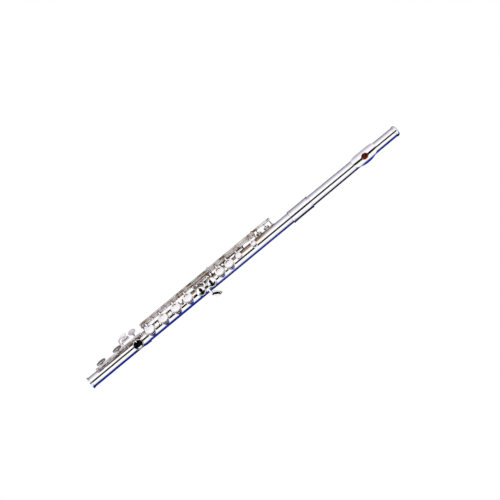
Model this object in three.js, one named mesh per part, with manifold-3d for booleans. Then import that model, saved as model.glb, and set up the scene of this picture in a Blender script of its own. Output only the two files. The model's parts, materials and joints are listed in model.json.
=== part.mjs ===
// Concert flute, C foot, closed-hole keys with offset G, in millimetres.
//
// The flute lies along X with the head joint at +X. Y points to the player's side,
// where the hinge rods are, and the main row of key cups faces +Z.
// A station s is the distance from the embouchure hole's centre towards the foot, so x = -s.
// An angle is measured round the tube from +Z towards +Y.

import * as THREE from 'three';
import { mergeVertices } from 'three/addons/utils/BufferGeometryUtils.js';
import Module from 'manifold-3d';

const wasm = await Module();
wasm.setup();

// ---------------------------------------------------------------- driving dimensions

const GAP = 0.3; // clearance between pieces that touch or turn in each other

// Tubes
const BORE_R = 9.5;
const TUBE_R = 9.9;
const HEAD_BORE_R_CROWN = 8.5;
const HEAD_R_CROWN = 8.9;
const CROWN_END = -71.3;
const CROWN_LENGTH = 8;
const HEAD_START = CROWN_END + CROWN_LENGTH + GAP;
const BARREL_START = 119.3;
const BARREL_END = 162.4;
const HEAD_END = 149.7;
const FOOT_SOCKET_START = 476.2;
const BODY_END = 488.9;
const FOOT_END = 602;

// Sounding holes, placed by a law of equal semitones. Hole 1 is the lowest.
const SOUNDING_LENGTH = 659.7;
const END_CORRECTION = 57.7;
const VENT_SHIFT = 15; // the small vents lie this much nearer the head
const toneHole = (n) => SOUNDING_LENGTH * 2 ** (-n / 12) - END_CORRECTION;
const vent = (n) => toneHole(n) - VENT_SHIFT;

// Key cups: radius of the cup, and of its hole
const RIGHT_HAND = { cup: 9.0, hole: 7.1 };
const LEFT_HAND = { cup: 8.5, hole: 6.6 };
const THUMB_SIZE = { cup: 8.3, hole: 6.4 };
const SMALL = { cup: 5.2, hole: 3.4 };
const CHIMNEY_WALL = 0.5;
const SEAT_H = 12.0; // height of a chimney's rim above the tube's axis
const PAD_H0 = SEAT_H + GAP;
const PAD_H1 = 14.5;
const CUP_H0 = 12.9;
const CUP_H1 = 15.6;
const CUP_WALL = 0.7;

// Hinge lines, as y and z across the tube
const MAIN = { y: 15.8, z: 8.5 };
const TRILL = { y: 20.2, z: 10.0 };
const OFFSET_G = { y: 12.0, z: 11.3 };
const THUMB = { y: 16.4, z: 1.4 };
const FOOT = { y: 0, z: 16 };
const HINGE_R = 2.0;
const STEEL_R = 1.0;
const STEEL_BORE_R = STEEL_R + GAP;

// Angles of the rows round the tube, in degrees
const G_ANGLE = -20;
const GSHARP_ANGLE = 125;
const THUMB_ANGLE = 145;
const TRILL_ANGLE = 90;
const FOOT_CUP_ANGLE = 46;
const HEAD_TURN = -18; // the head joint, turned outwards for playing
const FOOT_TURN = 23; // the foot joint, turned towards the right hand

// How far a standing-open key stands from its hole, in degrees about its hinge
const MAIN_OPEN = 9.4;
const G_OPEN = 9.9;
const THUMB_OPEN = 10.4;
const FOOT_OPEN = 13.0;

// Ribs and posts
const RIB_R0 = TUBE_R + GAP;
const RIB_R1 = 11.2;
const POST_FOOT_R = 2.2;
const POST_STEM_R = 1.2;
const POST_BALL_R = 2.3;
const TRILL_HEAD_POST = 193.7;
const UPPER_POST = 229;
const MIDDLE_POST = 325.5;
const LOWER_POST = 473.4;
const G_POSTS = [331, 364.5];
const THUMB_POSTS = [257, 305];
const FOOT_POSTS = [484, 513, 577];
const POST_CLEAR = POST_BALL_R + GAP;

// Fineness of round stretches
const TUBE_SIDES = 24;
const CUP_SIDES = 16;
const HOLE_SIDES = 14;
const ROD_SIDES = 8;

// ---------------------------------------------------------------- materials

const silver = { color: 0xdfe1e6, roughness: 0.18, metalness: 1.0 };
const steel = { color: 0xb9bcc2, roughness: 0.25, metalness: 1.0 };
const felt = { color: 0xe9d9b4, roughness: 0.85, metalness: 0.0 };
const cork = { color: 0xb98d5a, roughness: 0.9, metalness: 0.0 };

// ---------------------------------------------------------------- solid helpers

const rad = THREE.MathUtils.degToRad;

// A closed geometry as a manifold solid with its faces pointing out.
function solid(geometry) {
  const bare = geometry.clone();
  bare.deleteAttribute('normal');
  bare.deleteAttribute('uv');
  const merged = mergeVertices(bare, 1e-4);
  const position = merged.attributes.position;
  const index = merged.index.array;
  const corner = (i) => new THREE.Vector3().fromBufferAttribute(position, i);
  const triangles = [];
  let volume = 0;
  for (let i = 0; i < index.length; i += 3) {
    const [a, b, c] = [index[i], index[i + 1], index[i + 2]];
    if (a === b || b === c || c === a) continue;
    triangles.push(a, b, c);
    volume += corner(a).dot(corner(b).cross(corner(c)));
  }
  if (volume < 0) triangles.reverse();
  return new wasm.Manifold(new wasm.Mesh({
    numProp: 3,
    vertProperties: new Float32Array(position.array),
    triVerts: new Uint32Array(triangles),
  }));
}

const join = (first, ...rest) => rest.reduce((sum, piece) => sum.add(piece), first);
const cut = (first, ...rest) => rest.reduce((sum, piece) => sum.subtract(piece), first);

function meshOf(name, piece, look) {
  const data = piece.getMesh();
  const geometry = new THREE.BufferGeometry();
  geometry.setAttribute('position', new THREE.BufferAttribute(data.vertProperties, data.numProp));
  geometry.setIndex(new THREE.BufferAttribute(data.triVerts, 1));
  geometry.computeVertexNormals();
  const mesh = new THREE.Mesh(geometry, new THREE.MeshStandardMaterial(look));
  mesh.name = name;
  return mesh;
}

// A profile of [station, radius] points turned about the flute's axis, or about a line
// parallel to it through y and z.
function turned(profile, sides, line = { y: 0, z: 0 }) {
  const points = profile.map(([s, r]) => new THREE.Vector2(r, -s));
  const geometry = new THREE.LatheGeometry(points, sides);
  geometry.rotateZ(-Math.PI / 2);
  geometry.translate(0, line.y, line.z);
  return solid(geometry);
}

const rod = (s0, s1, r, sides, line) => turned([[s0, 0], [s0, r], [s1, r], [s1, 0]], sides, line);

const pipe = (s0, s1, r, bore, sides, line) =>
  turned([[s0, bore], [s0, r], [s1, r], [s1, bore], [s0, bore]], sides, line);

// Turns a geometry whose own +Z is "outwards" to stand at a station and an angle on the tube.
function stand(geometry, s, angle) {
  geometry.rotateX(-rad(angle));
  geometry.translate(-s, 0, 0);
  return geometry;
}

// A profile of [radius, height] points turned about the outward line at a station and an angle.
function upright(profile, sides, s, angle) {
  const points = profile.map(([r, h]) => new THREE.Vector2(r, h));
  return solid(stand(new THREE.LatheGeometry(points, sides).rotateX(Math.PI / 2), s, angle));
}

const peg = (r, h0, h1, sides, s, angle) =>
  upright([[0, h0], [r, h0], [r, h1], [0, h1]], sides, s, angle);

// An outline drawn across the tube in y and z, pushed along the flute from s0 to s1.
function slab(points, s0, s1) {
  const shape = new THREE.Shape(points.map(([y, z]) => new THREE.Vector2(y, z)));
  const geometry = new THREE.ExtrudeGeometry(shape, { depth: s1 - s0, bevelEnabled: false });
  const across = new THREE.Matrix4().makeBasis(
    new THREE.Vector3(0, 1, 0), new THREE.Vector3(0, 0, 1), new THREE.Vector3(1, 0, 0));
  return solid(geometry.applyMatrix4(across).translate(-s1, 0, 0));
}

// The outline of a curved strip of even thickness through points in y and z.
function stripOutline(points, thickness, steps) {
  const curve = new THREE.SplineCurve(points.map(([y, z]) => new THREE.Vector2(y, z)));
  const left = [];
  const right = [];
  for (let i = 0; i <= steps; i++) {
    const point = curve.getPoint(i / steps);
    const along = curve.getTangent(i / steps);
    const side = new THREE.Vector2(-along.y, along.x).multiplyScalar(thickness / 2);
    left.push([point.x + side.x, point.y + side.y]);
    right.unshift([point.x - side.x, point.y - side.y]);
  }
  return [...left, ...right];
}

const strip = (points, thickness, width, s, steps = 7) =>
  slab(stripOutline(points, thickness, steps), s - width / 2, s + width / 2);

// A round bar along a smooth line through [s, y, z] points.
function bar(points, r, steps = 12) {
  const path = new THREE.CatmullRomCurve3(points.map(([s, y, z]) => new THREE.Vector3(-s, y, z)));
  const section = new THREE.Shape();
  section.absellipse(0, 0, r, r, 0, 2 * Math.PI);
  return solid(new THREE.ExtrudeGeometry(section, { extrudePath: path, steps, curveSegments: 4 }));
}

// A flat plate of an elliptical outline, at height h0 to h1 over an angle of the tube.
// Its centre lies at a station and, across the tube, at t towards the greater angle.
function ovalPlate(s, t, halfLength, halfWidth, h0, h1, angle, lean = 0) {
  const outline = new THREE.Shape();
  outline.absellipse(0, t, halfLength, halfWidth, 0, 2 * Math.PI, false, lean);
  const geometry = new THREE.ExtrudeGeometry(outline,
    { depth: h1 - h0, bevelEnabled: false, curveSegments: 9 });
  return solid(stand(geometry.translate(0, 0, h0), s, angle));
}

// ---------------------------------------------------------------- key pieces

// A cup: a shallow dish, open towards the tube, with a slightly crowned top.
function cup(size, s, angle) {
  const inside = size.cup - CUP_WALL;
  return upright([
    [inside, CUP_H0], [size.cup, CUP_H0], [size.cup, CUP_H1 - 0.7], [size.cup - 0.7, CUP_H1 - 0.1],
    [0, CUP_H1 + 0.2], [0, PAD_H1 + GAP], [inside, PAD_H1 + GAP], [inside, CUP_H0],
  ], CUP_SIDES, s, angle);
}

function pad(name, size, s, angle) {
  const r = size.cup - CUP_WALL - GAP;
  return meshOf(name, peg(r, PAD_H0, PAD_H1, CUP_SIDES, s, angle), felt);
}

const ARM_WIDTH = 3;
const ARM_THICKNESS = 1.5;

// An arm from a hinge line up and over the near rim of a cup or button of radius r.
function cupArm(line, s, angle, r) {
  const [sin, cos] = [Math.sin(rad(angle)), Math.cos(rad(angle))];
  const t = line.y * cos - line.z * sin;
  const h = line.y * sin + line.z * cos;
  const rim = Math.sign(t) * r;
  const route = [
    [t, h], [0.97 * t, h + 0.45 * (CUP_H1 - h)], [(t + rim) / 2, CUP_H1 + 0.3],
    [0.6 * rim, CUP_H1 + 0.3],
  ];
  const turnedBack = route.map(([a, b]) => [a * cos + b * sin, b * cos - a * sin]);
  return strip(turnedBack, ARM_THICKNESS, ARM_WIDTH, s);
}

const hingeTube = (s0, s1, line) => rod(s0, s1, HINGE_R, ROD_SIDES, line);
const hingeBore = (s0, s1, line) => rod(s0, s1, STEEL_BORE_R, ROD_SIDES, line);

// A key on one open tube: its pieces are joined, then the hinge is bored through.
function boredKey(name, line, s0, s1, ...pieces) {
  const whole = join(hingeTube(s0, s1, line), ...pieces);
  return meshOf(name, cut(whole, hingeBore(s0 - 1, s1 + 1, line)), silver);
}

// Turns pieces that were made with the key closed about their hinge line.
function hinged(line, degrees, ...meshes) {
  const group = new THREE.Group();
  group.position.set(0, line.y, line.z);
  group.rotation.x = rad(degrees);
  for (const mesh of meshes) {
    mesh.position.set(0, -line.y, -line.z);
    group.add(mesh);
  }
  return group;
}

// ---------------------------------------------------------------- ribs and posts

function rib(s0, s1, angle0, angle1) {
  const steps = 5;
  const outer = [];
  const inner = [];
  for (let i = 0; i <= steps; i++) {
    const a = rad(angle0 + (angle1 - angle0) * i / steps);
    outer.push([RIB_R1 * Math.sin(a), RIB_R1 * Math.cos(a)]);
    inner.unshift([RIB_R0 * Math.sin(a), RIB_R0 * Math.cos(a)]);
  }
  return slab([...outer, ...inner], s0, s1);
}

const lineAngle = (line) => THREE.MathUtils.radToDeg(Math.atan2(line.y, line.z));
const lineRadius = (line) => Math.hypot(line.y, line.z);

function post(s, line) {
  const ball = new THREE.SphereGeometry(POST_BALL_R, ROD_SIDES, 5);
  ball.translate(-s, line.y, line.z);
  const stem = upright([
    [0, RIB_R0 + 0.4], [POST_FOOT_R, RIB_R0 + 0.4], [POST_FOOT_R, RIB_R1 + 0.5],
    [POST_STEM_R, RIB_R1 + 1.5],
    [POST_STEM_R, lineRadius(line)], [0, lineRadius(line)],
  ], ROD_SIDES, s, lineAngle(line));
  return join(solid(ball), stem);
}

const postBore = (s, line, r = STEEL_BORE_R) => rod(s - 4, s + 4, r, ROD_SIDES, line);

// A guide ring that a long tube turns in, half-way along.
const GUIDE_HALF_WIDTH = 1.6;
const GUIDE_R = HINGE_R + GAP + 0.8;
const guideRing = (s, line) =>
  rod(s - GUIDE_HALF_WIDTH, s + GUIDE_HALF_WIDTH, GUIDE_R, ROD_SIDES + 4, line);

// ---------------------------------------------------------------- head joint

const headWall = (s) => {
  const taper = THREE.MathUtils.clamp((s - HEAD_START) / (BARREL_START - HEAD_START), 0, 1);
  return {
    bore: THREE.MathUtils.lerp(HEAD_BORE_R_CROWN, BORE_R, taper),
    outer: THREE.MathUtils.lerp(HEAD_R_CROWN, TUBE_R, taper),
  };
};

const EMBOUCHURE = { halfLength: 6.1, halfWidth: 5.2, wall: 0.9 };
const LIP_R0 = 12.1;
const LIP_R1 = 13.0;
const LIP_HALF_LENGTH = 25;
const LIP_HALF_WIDTH = 11.8;
const LIP_OFFSET = -0.4;
const LIP_OUTLINE_POINTS = 72;
// How full the corners of the lip plate's outline are: 2 is an ellipse, more is squarer.
const LIP_FULLNESS = { player: 5, far: 2.1 };

const blowHole = () =>
  ovalPlate(0, 0, EMBOUCHURE.halfLength, EMBOUCHURE.halfWidth, 3, 16, 0);

function headTube() {
  const [crownEnd, barrelEnd] = [headWall(HEAD_START), headWall(BARREL_START)];
  const wall = turned([
    [HEAD_START, crownEnd.bore], [HEAD_START, crownEnd.outer],
    [BARREL_START, barrelEnd.outer], [HEAD_END, barrelEnd.outer],
    [HEAD_END, barrelEnd.bore], [BARREL_START, barrelEnd.bore], [HEAD_START, crownEnd.bore],
  ], TUBE_SIDES);
  return meshOf('head_tube', cut(wall, blowHole()), silver);
}

// The lip plate's outline from above: squared on the player's side, oval on the far side.
function lipOutline() {
  const points = [];
  for (let i = 0; i < LIP_OUTLINE_POINTS; i++) {
    const turn = (i / LIP_OUTLINE_POINTS) * 2 * Math.PI;
    const power = 2 / (Math.sin(turn) > 0 ? LIP_FULLNESS.player : LIP_FULLNESS.far);
    const fuller = (share) => Math.sign(share) * Math.abs(share) ** power;
    points.push(new THREE.Vector2(LIP_HALF_LENGTH * fuller(Math.cos(turn)),
      LIP_OFFSET + LIP_HALF_WIDTH * fuller(Math.sin(turn))));
  }
  const geometry = new THREE.ExtrudeGeometry(new THREE.Shape(points),
    { depth: LIP_R1 + 3, bevelEnabled: false });
  return solid(stand(geometry, 0, 0));
}

function lipPlate() {
  const shell = pipe(-LIP_HALF_LENGTH - 1, LIP_HALF_LENGTH + 1, LIP_R1, LIP_R0, 2 * TUBE_SIDES);
  return meshOf('lip_plate', cut(shell.intersect(lipOutline()), blowHole()), silver);
}

function embouchureRiser() {
  const { halfLength, halfWidth, wall } = EMBOUCHURE;
  const base = headWall(halfLength + wall).outer + GAP;
  const shell = pipe(-9, 9, LIP_R0 - GAP, base, 2 * TUBE_SIDES);
  const outline = ovalPlate(0, 0, halfLength + wall, halfWidth + wall, 3, 16, 0);
  return meshOf('embouchure_riser', cut(shell.intersect(outline), blowHole()), silver);
}

// The crown is a capped nut: it screws on the stopper's screw and draws the stopper along.
const STOPPER_SCREW_R = 2.0;

function crown() {
  const end = CROWN_END + CROWN_LENGTH;
  const screwBore = STOPPER_SCREW_R + GAP;
  const profile = [
    [CROWN_END, 0], [CROWN_END, 6], [CROWN_END + 0.6, 7.7], [CROWN_END + 1.8, 9.1],
    [CROWN_END + 3.6, 9.9],
    [end - 2.4, 9.9], [end - 1.8, 9.3], [end, 9.3], [end, screwBore],
    [CROWN_END + 1.6, screwBore], [CROWN_END + 1.6, 0],
  ];
  return meshOf('crown', turned(profile, TUBE_SIDES), silver);
}

const STOPPER_FACE = -17.3; // the reflecting face, one bore width from the hole's centre
const STOPPER_R = 8.2;

function stopper() {
  const disc = [STOPPER_FACE - 2, STOPPER_FACE];
  const corkEnds = [disc[0] - GAP - 24, disc[0] - GAP];
  const nut = [corkEnds[0] - GAP - 3, corkEnds[0] - GAP];
  const screwBore = STOPPER_SCREW_R + GAP;
  return [
    meshOf('stopper_disc', rod(...disc, STOPPER_R, 24), silver),
    meshOf('stopper_cork', pipe(...corkEnds, STOPPER_R, screwBore, 24), cork),
    meshOf('stopper_nut', pipe(...nut, 6.5, screwBore, 6), silver),
    meshOf('stopper_screw', rod(CROWN_END + 4.8, disc[0] - GAP, STOPPER_SCREW_R, ROD_SIDES), steel),
  ];
}

// ---------------------------------------------------------------- body joint

const mainHoles = {
  csharp: { s: vent(13), size: SMALL, angle: 0 },
  bflat: { s: toneHole(11), size: LEFT_HAND, angle: 0 },
  a: { s: toneHole(10), size: LEFT_HAND, angle: 0 },
  upper_g: { s: toneHole(9), size: RIGHT_HAND, angle: G_ANGLE },
  lower_g: { s: toneHole(8), size: RIGHT_HAND, angle: G_ANGLE },
  gsharp: { s: toneHole(8), size: LEFT_HAND, angle: GSHARP_ANGLE },
  thumb: { s: toneHole(12), size: THUMB_SIZE, angle: THUMB_ANGLE },
  fsharp: { s: toneHole(7), size: RIGHT_HAND, angle: 0 },
  f: { s: toneHole(6), size: RIGHT_HAND, angle: 0 },
  e: { s: toneHole(5), size: RIGHT_HAND, angle: 0 },
  d: { s: toneHole(4), size: RIGHT_HAND, angle: 0 },
  d_trill: { s: vent(14), size: SMALL, angle: TRILL_ANGLE },
  dsharp_trill: { s: vent(15), size: SMALL, angle: TRILL_ANGLE },
};

const footHoles = {
  eflat: { s: toneHole(3), size: RIGHT_HAND, angle: -FOOT_CUP_ANGLE },
  low_csharp: { s: toneHole(2), size: RIGHT_HAND, angle: FOOT_CUP_ANGLE },
  low_c: { s: toneHole(1), size: RIGHT_HAND, angle: FOOT_CUP_ANGLE },
};

// Drawn chimneys stand on a tube blank, then the bore and the holes are cleared.
function drilledTube(blank, bore, holes) {
  const chimneys = holes.map(({ s, size, angle }) =>
    peg(size.hole + CHIMNEY_WALL, 4, SEAT_H, HOLE_SIDES, s, angle));
  const clearings = holes.map(({ s, size, angle }) =>
    peg(size.hole, 2, SEAT_H + 1, HOLE_SIDES, s, angle));
  return cut(join(blank, ...chimneys), bore, ...clearings);
}

function bodyTube() {
  const start = HEAD_END + GAP;
  const blank = rod(start, BODY_END, TUBE_R, TUBE_SIDES);
  const bore = rod(start - 1, BODY_END + 1, BORE_R, TUBE_SIDES);
  return meshOf('body_tube', drilledTube(blank, bore, Object.values(mainHoles)), silver);
}

function barrel() {
  const inside = TUBE_R + GAP;
  const profile = [
    [BARREL_START, inside], [BARREL_START, 11.6], [BARREL_START + 2, 11.6],
    [BARREL_START + 2.6, 11.1], [BARREL_END - 3.6, 11.1], [BARREL_END - 3, 11.6],
    [BARREL_END, 11.6], [BARREL_END, inside], [BARREL_START, inside],
  ];
  return meshOf('barrel', turned(profile, TUBE_SIDES), silver);
}

function upperRib() {
  const posts = [
    post(TRILL_HEAD_POST, TRILL),
    ...[UPPER_POST, MIDDLE_POST].flatMap((s) => [post(s, MAIN), post(s, TRILL), guideRing(s, TRILL)]),
  ];
  const bores = [
    postBore(TRILL_HEAD_POST, TRILL),
    ...[UPPER_POST, MIDDLE_POST].flatMap((s) =>
      [postBore(s, MAIN), postBore(s, TRILL, HINGE_R + GAP)]),
  ];
  const base = rib(TRILL_HEAD_POST - 4, MIDDLE_POST + 2.6, 54, 68);
  return meshOf('upper_rib', cut(join(base, ...posts), ...bores), silver);
}

function lowerRib() {
  const posts = [
    ...G_POSTS.map((s) => post(s, OFFSET_G)), post(LOWER_POST, MAIN), post(LOWER_POST, TRILL),
  ];
  const bores = [
    ...G_POSTS.map((s) => postBore(s, OFFSET_G)),
    postBore(LOWER_POST, MAIN), postBore(LOWER_POST, TRILL),
  ];
  const base = rib(MIDDLE_POST + 2.9, LOWER_POST + 2.4, 54, 68);
  const sideFeet = G_POSTS.map((s) => rib(s - 2.4, s + 2.4, 38, 60));
  return meshOf('lower_rib', cut(join(base, ...sideFeet, ...posts), ...bores), silver);
}

function thumbRib() {
  const base = rib(THUMB_POSTS[0] - 4, THUMB_POSTS[1] + 4, 78, 92);
  const posts = THUMB_POSTS.map((s) => post(s, THUMB));
  const bores = THUMB_POSTS.map((s) => postBore(s, THUMB));
  return meshOf('thumb_rib', cut(join(base, ...posts), ...bores), silver);
}

const steelRod = (name, s0, s1, line) => meshOf(name, rod(s0, s1, STEEL_R, ROD_SIDES, line), steel);

// Pivot screws reach from a post into the blind end of a key's tube.
const PIVOT_REACH = 6;
const pivotUp = (name, s, line) => steelRod(name, s - 2.4, s + PIVOT_REACH, line);
const pivotDown = (name, s, line) => steelRod(name, s - PIVOT_REACH, s + 2.4, line);
const BLIND_DEPTH = PIVOT_REACH - POST_CLEAR + GAP;

// ---------------------------------------------------------------- keys on the body

const A_TUBE_END = MIDDLE_POST - POST_CLEAR;
const FSHARP_TUBE_START = MIDDLE_POST + POST_CLEAR;
const SIDE_LEVER_TUBE = [392.4, 399.2];

// Tubes of the keys on the main line, end to end between the posts
const mainTubes = {
  csharp: [UPPER_POST + POST_CLEAR, 283.2],
  bflat: [283.5, 301.2],
  a: [301.5, A_TUBE_END],
  fsharp: [FSHARP_TUBE_START, SIDE_LEVER_TUBE[0] - GAP],
  f: [SIDE_LEVER_TUBE[1] + GAP, 420.2],
  e: [420.5, 448.3],
  d: [448.6, LOWER_POST - POST_CLEAR],
};

// The first finger's touch stands beside its small vent cup on the same tube.
const FIRST_TOUCH = 271;
const FIRST_TOUCH_R = 5.6;
const touchButton = (s, r, angle = 0) => upright([
  [0, CUP_H1 - 1.2], [r - 0.6, CUP_H1 - 1.2], [r, CUP_H1 - 0.5], [r - 0.8, CUP_H1 + 0.1],
  [0, CUP_H1 + 0.1],
], CUP_SIDES, s, angle);

function mainKey(note) {
  const { s, size, angle } = mainHoles[note];
  const pieces = [cup(size, s, angle), cupArm(MAIN, s, angle, size.cup)];
  if (note === 'csharp') {
    pieces.push(touchButton(FIRST_TOUCH, FIRST_TOUCH_R), cupArm(MAIN, FIRST_TOUCH, 0, FIRST_TOUCH_R));
  }
  const key = boredKey(`${note}_key`, MAIN, ...mainTubes[note], ...pieces);
  return hinged(MAIN, -MAIN_OPEN, key, pad(`${note}_pad`, size, s, angle));
}

// The two G cups share one shaft. Its thin middle carries the G sharp lever's tube.
const GSHARP_TUBE = [343.5, 349.1];

function gKey() {
  const [start, end] = [G_POSTS[0] + POST_CLEAR, G_POSTS[1] - POST_CLEAR];
  const shaft = join(
    hingeTube(start, GSHARP_TUBE[0] - GAP, OFFSET_G), hingeTube(GSHARP_TUBE[1] + GAP, end, OFFSET_G),
    rod(GSHARP_TUBE[0] - 1, GSHARP_TUBE[1] + 1, STEEL_R, ROD_SIDES, OFFSET_G));
  const cups = [mainHoles.upper_g, mainHoles.lower_g];
  const whole = join(shaft, ...cups.flatMap(({ s, size, angle }) =>
    [cup(size, s, angle), cupArm(OFFSET_G, s, angle, size.cup)]));
  const key = meshOf('g_key', cut(whole,
    hingeBore(start - 1, start + BLIND_DEPTH, OFFSET_G),
    hingeBore(end - BLIND_DEPTH, end + 1, OFFSET_G)), silver);
  const pads = ['upper_g', 'lower_g'].map((note) =>
    pad(`${note}_pad`, mainHoles[note].size, mainHoles[note].s, mainHoles[note].angle));
  return hinged(OFFSET_G, -G_OPEN, key, ...pads);
}

// The G sharp lever passes between the G cups to a leaf-shaped touch on the far side, which
// leans out towards the head. Pressing it lifts the sprung-shut cup on the player's side.
const LEAF_LEAN = 36;

function gsharpKey() {
  const { s, size, angle } = mainHoles.gsharp;
  const middle = (GSHARP_TUBE[0] + GSHARP_TUBE[1]) / 2;
  const bridge = strip([
    [OFFSET_G.y, OFFSET_G.z], [8.6, 15.6], [0.5, 18.2], [-7.5, 16.4], [-14, 11.4], [-18.5, 7.2],
  ], 1.6, 3, middle, 12);
  const leaf = ovalPlate(middle - 7, -18.2, 9.6, 5, 11.2, 12.9, G_ANGLE, rad(-LEAF_LEAN));
  const drop = bar([
    [middle, OFFSET_G.y, OFFSET_G.z], [middle + 1, 11.2, 7.6], [middle + 4, 13.6, 4],
    [s - 3, 17.4, 0.4], [s - 1, 18, -3.2], [s, 13.4, -9.6],
  ], 1.05);
  const key = boredKey('gsharp_key', OFFSET_G, ...GSHARP_TUBE, bridge, leaf, drop, cup(size, s, angle));
  return [key, pad('gsharp_pad', size, s, angle)];
}

// Two thumb touches lie side by side behind the tube. The first carries the thumb hole's cup.
function thumbKeys() {
  const { s, size, angle } = mainHoles.thumb;
  const split = 289.6;
  const start = THUMB_POSTS[0] + POST_CLEAR;
  const end = THUMB_POSTS[1] - POST_CLEAR;
  const touchPlate = (centre) => ovalPlate(centre, 0, 5.3, 7, 14.2, 15.4, 152);
  const touchArm = (centre) => strip([
    [THUMB.y, THUMB.z], [16.2, -4.6], [13.2, -10.2], [8.6, -12.6],
  ], 1.5, 2.6, centre);
  const thumb = boredKey('thumb_b_key', THUMB, start, split,
    cup(size, s, angle), cupArm(THUMB, s, angle, size.cup),
    touchPlate(split - 2.8), touchArm(split - 2.8));
  const lever = boredKey('thumb_bflat_lever', THUMB, split + GAP, end,
    touchPlate(split + 9), touchArm(split + 9));
  return [
    hinged(THUMB, THUMB_OPEN, thumb, pad('thumb_pad', size, s, angle)),
    hinged(THUMB, THUMB_OPEN, lever),
  ];
}

function sideBflatLever() {
  const s = (SIDE_LEVER_TUBE[0] + SIDE_LEVER_TUBE[1]) / 2;
  const arm = strip([[MAIN.y, MAIN.z], [14.6, 12.4], [10.5, 15.8], [6, 16.6]], 1.5, 2.6, s);
  const touch = ovalPlate(s, 5.5, 2.9, 5.5, 16, 17.4, 0);
  return boredKey('side_bflat_lever', MAIN, ...SIDE_LEVER_TUBE, arm, touch);
}

// The trill keys share one long line. The D sharp key's steel runs inside the D key's tube.
const trillGap = (upper, lower) => {
  const [a, b] = [mainHoles[upper], mainHoles[lower]];
  return (a.s + a.size.cup + b.s - b.size.cup) / 2;
};
const D_TRILL_TUBE = [214.8, 426.8];

const trillArm = (s) => strip([
  [TRILL.y, TRILL.z], [18.6, 13], [14, 15.6], [7, 16.6], [1.5, 16],
], 1.5, 2.6, s, 9);

function trillKeys() {
  const [d, dsharp] = [mainHoles.d_trill, mainHoles.dsharp_trill];
  const dTouch = trillGap('f', 'e');
  const dsharpTouch = trillGap('e', 'd');
  const dKey = boredKey('d_trill_key', TRILL, ...D_TRILL_TUBE, cup(d.size, d.s, d.angle),
    cupArm(TRILL, d.s, d.angle, d.size.cup), trillArm(dTouch), touchButton(dTouch, 4));
  const start = TRILL_HEAD_POST + POST_CLEAR;
  const end = LOWER_POST - POST_CLEAR;
  const whole = join(
    hingeTube(start, D_TRILL_TUBE[0] - GAP, TRILL), hingeTube(D_TRILL_TUBE[1] + GAP, end, TRILL),
    rod(D_TRILL_TUBE[0] - 1, D_TRILL_TUBE[1] + 1, STEEL_R, ROD_SIDES, TRILL),
    cup(dsharp.size, dsharp.s, dsharp.angle),
    cupArm(TRILL, dsharp.s, dsharp.angle, dsharp.size.cup),
    trillArm(dsharpTouch), touchButton(dsharpTouch, 4.2));
  const dsharpKey = meshOf('dsharp_trill_key', cut(whole,
    hingeBore(start - 1, start + BLIND_DEPTH, TRILL),
    hingeBore(end - BLIND_DEPTH, end + 1, TRILL)), silver);
  return [
    dKey, dsharpKey,
    pad('d_trill_pad', d.size, d.s, d.angle),
    pad('dsharp_trill_pad', dsharp.size, dsharp.s, dsharp.angle),
  ];
}

// ---------------------------------------------------------------- foot joint

const FOOT_RING_R = 11.3;
const FOOT_SLEEVE_R = 10.9; // the socket's sleeve and the end ring

function footTube() {
  const blank = turned([
    [FOOT_SOCKET_START, 0], [FOOT_SOCKET_START, FOOT_RING_R],
    [FOOT_SOCKET_START + 2.4, FOOT_RING_R], [FOOT_SOCKET_START + 3, FOOT_SLEEVE_R],
    [BODY_END - 1.5, FOOT_SLEEVE_R], [BODY_END + 1.6, TUBE_R], [FOOT_END - 3.6, TUBE_R],
    [FOOT_END - 3, FOOT_SLEEVE_R], [FOOT_END, FOOT_SLEEVE_R], [FOOT_END, 0],
  ], TUBE_SIDES);
  const bore = turned([
    [FOOT_SOCKET_START - 1, 0], [FOOT_SOCKET_START - 1, TUBE_R + GAP], [BODY_END + GAP, TUBE_R + GAP],
    [BODY_END + GAP, BORE_R], [FOOT_END + 1, BORE_R], [FOOT_END + 1, 0],
  ], TUBE_SIDES);
  return meshOf('foot_tube', drilledTube(blank, bore, Object.values(footHoles)), silver);
}

// The foot's rib runs between the chimneys, and its narrow saddle lies over the socket's sleeve.
const SADDLE_HALF_WIDTH = 1.7;
const SADDLE_R = RIB_R1 + 0.8;

function footRib() {
  const [start, end] = [FOOT_POSTS[0] - 3, FOOT_POSTS[2] + 3];
  const saddleEnd = BODY_END + 4;
  const strap = rod(start, saddleEnd, SADDLE_R, TUBE_SIDES).intersect(slab([
    [-SADDLE_HALF_WIDTH, RIB_R0], [SADDLE_HALF_WIDTH, RIB_R0],
    [SADDLE_HALF_WIDTH, SADDLE_R], [-SADDLE_HALF_WIDTH, SADDLE_R],
  ], start, saddleEnd));
  const chimneyRoom = Object.values(footHoles).map(({ s, size, angle }) =>
    peg(size.hole + CHIMNEY_WALL + GAP, 2, SEAT_H + 1, HOLE_SIDES, s, angle));
  const socketRoom = rod(FOOT_SOCKET_START, BODY_END + 2, FOOT_SLEEVE_R + GAP, TUBE_SIDES);
  const bores = FOOT_POSTS.map((s) => postBore(s, FOOT));
  const base = cut(rib(start, end, -6, 6), ...chimneyRoom);
  const posts = FOOT_POSTS.map((s) => post(s, FOOT));
  return meshOf('foot_rib', cut(join(base, strap, ...posts), socketRoom, ...bores), silver);
}

const LOW_C_COLLAR = [FOOT_POSTS[1] + POST_CLEAR, 519];
const LOW_CSHARP_TUBE = [LOW_C_COLLAR[1] + GAP, 548.3];
const ROLLER = { start: 503.6, end: 513.8, y: 12.6, z: 14.6, r: 2.3, pinR: 0.8 };

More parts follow.
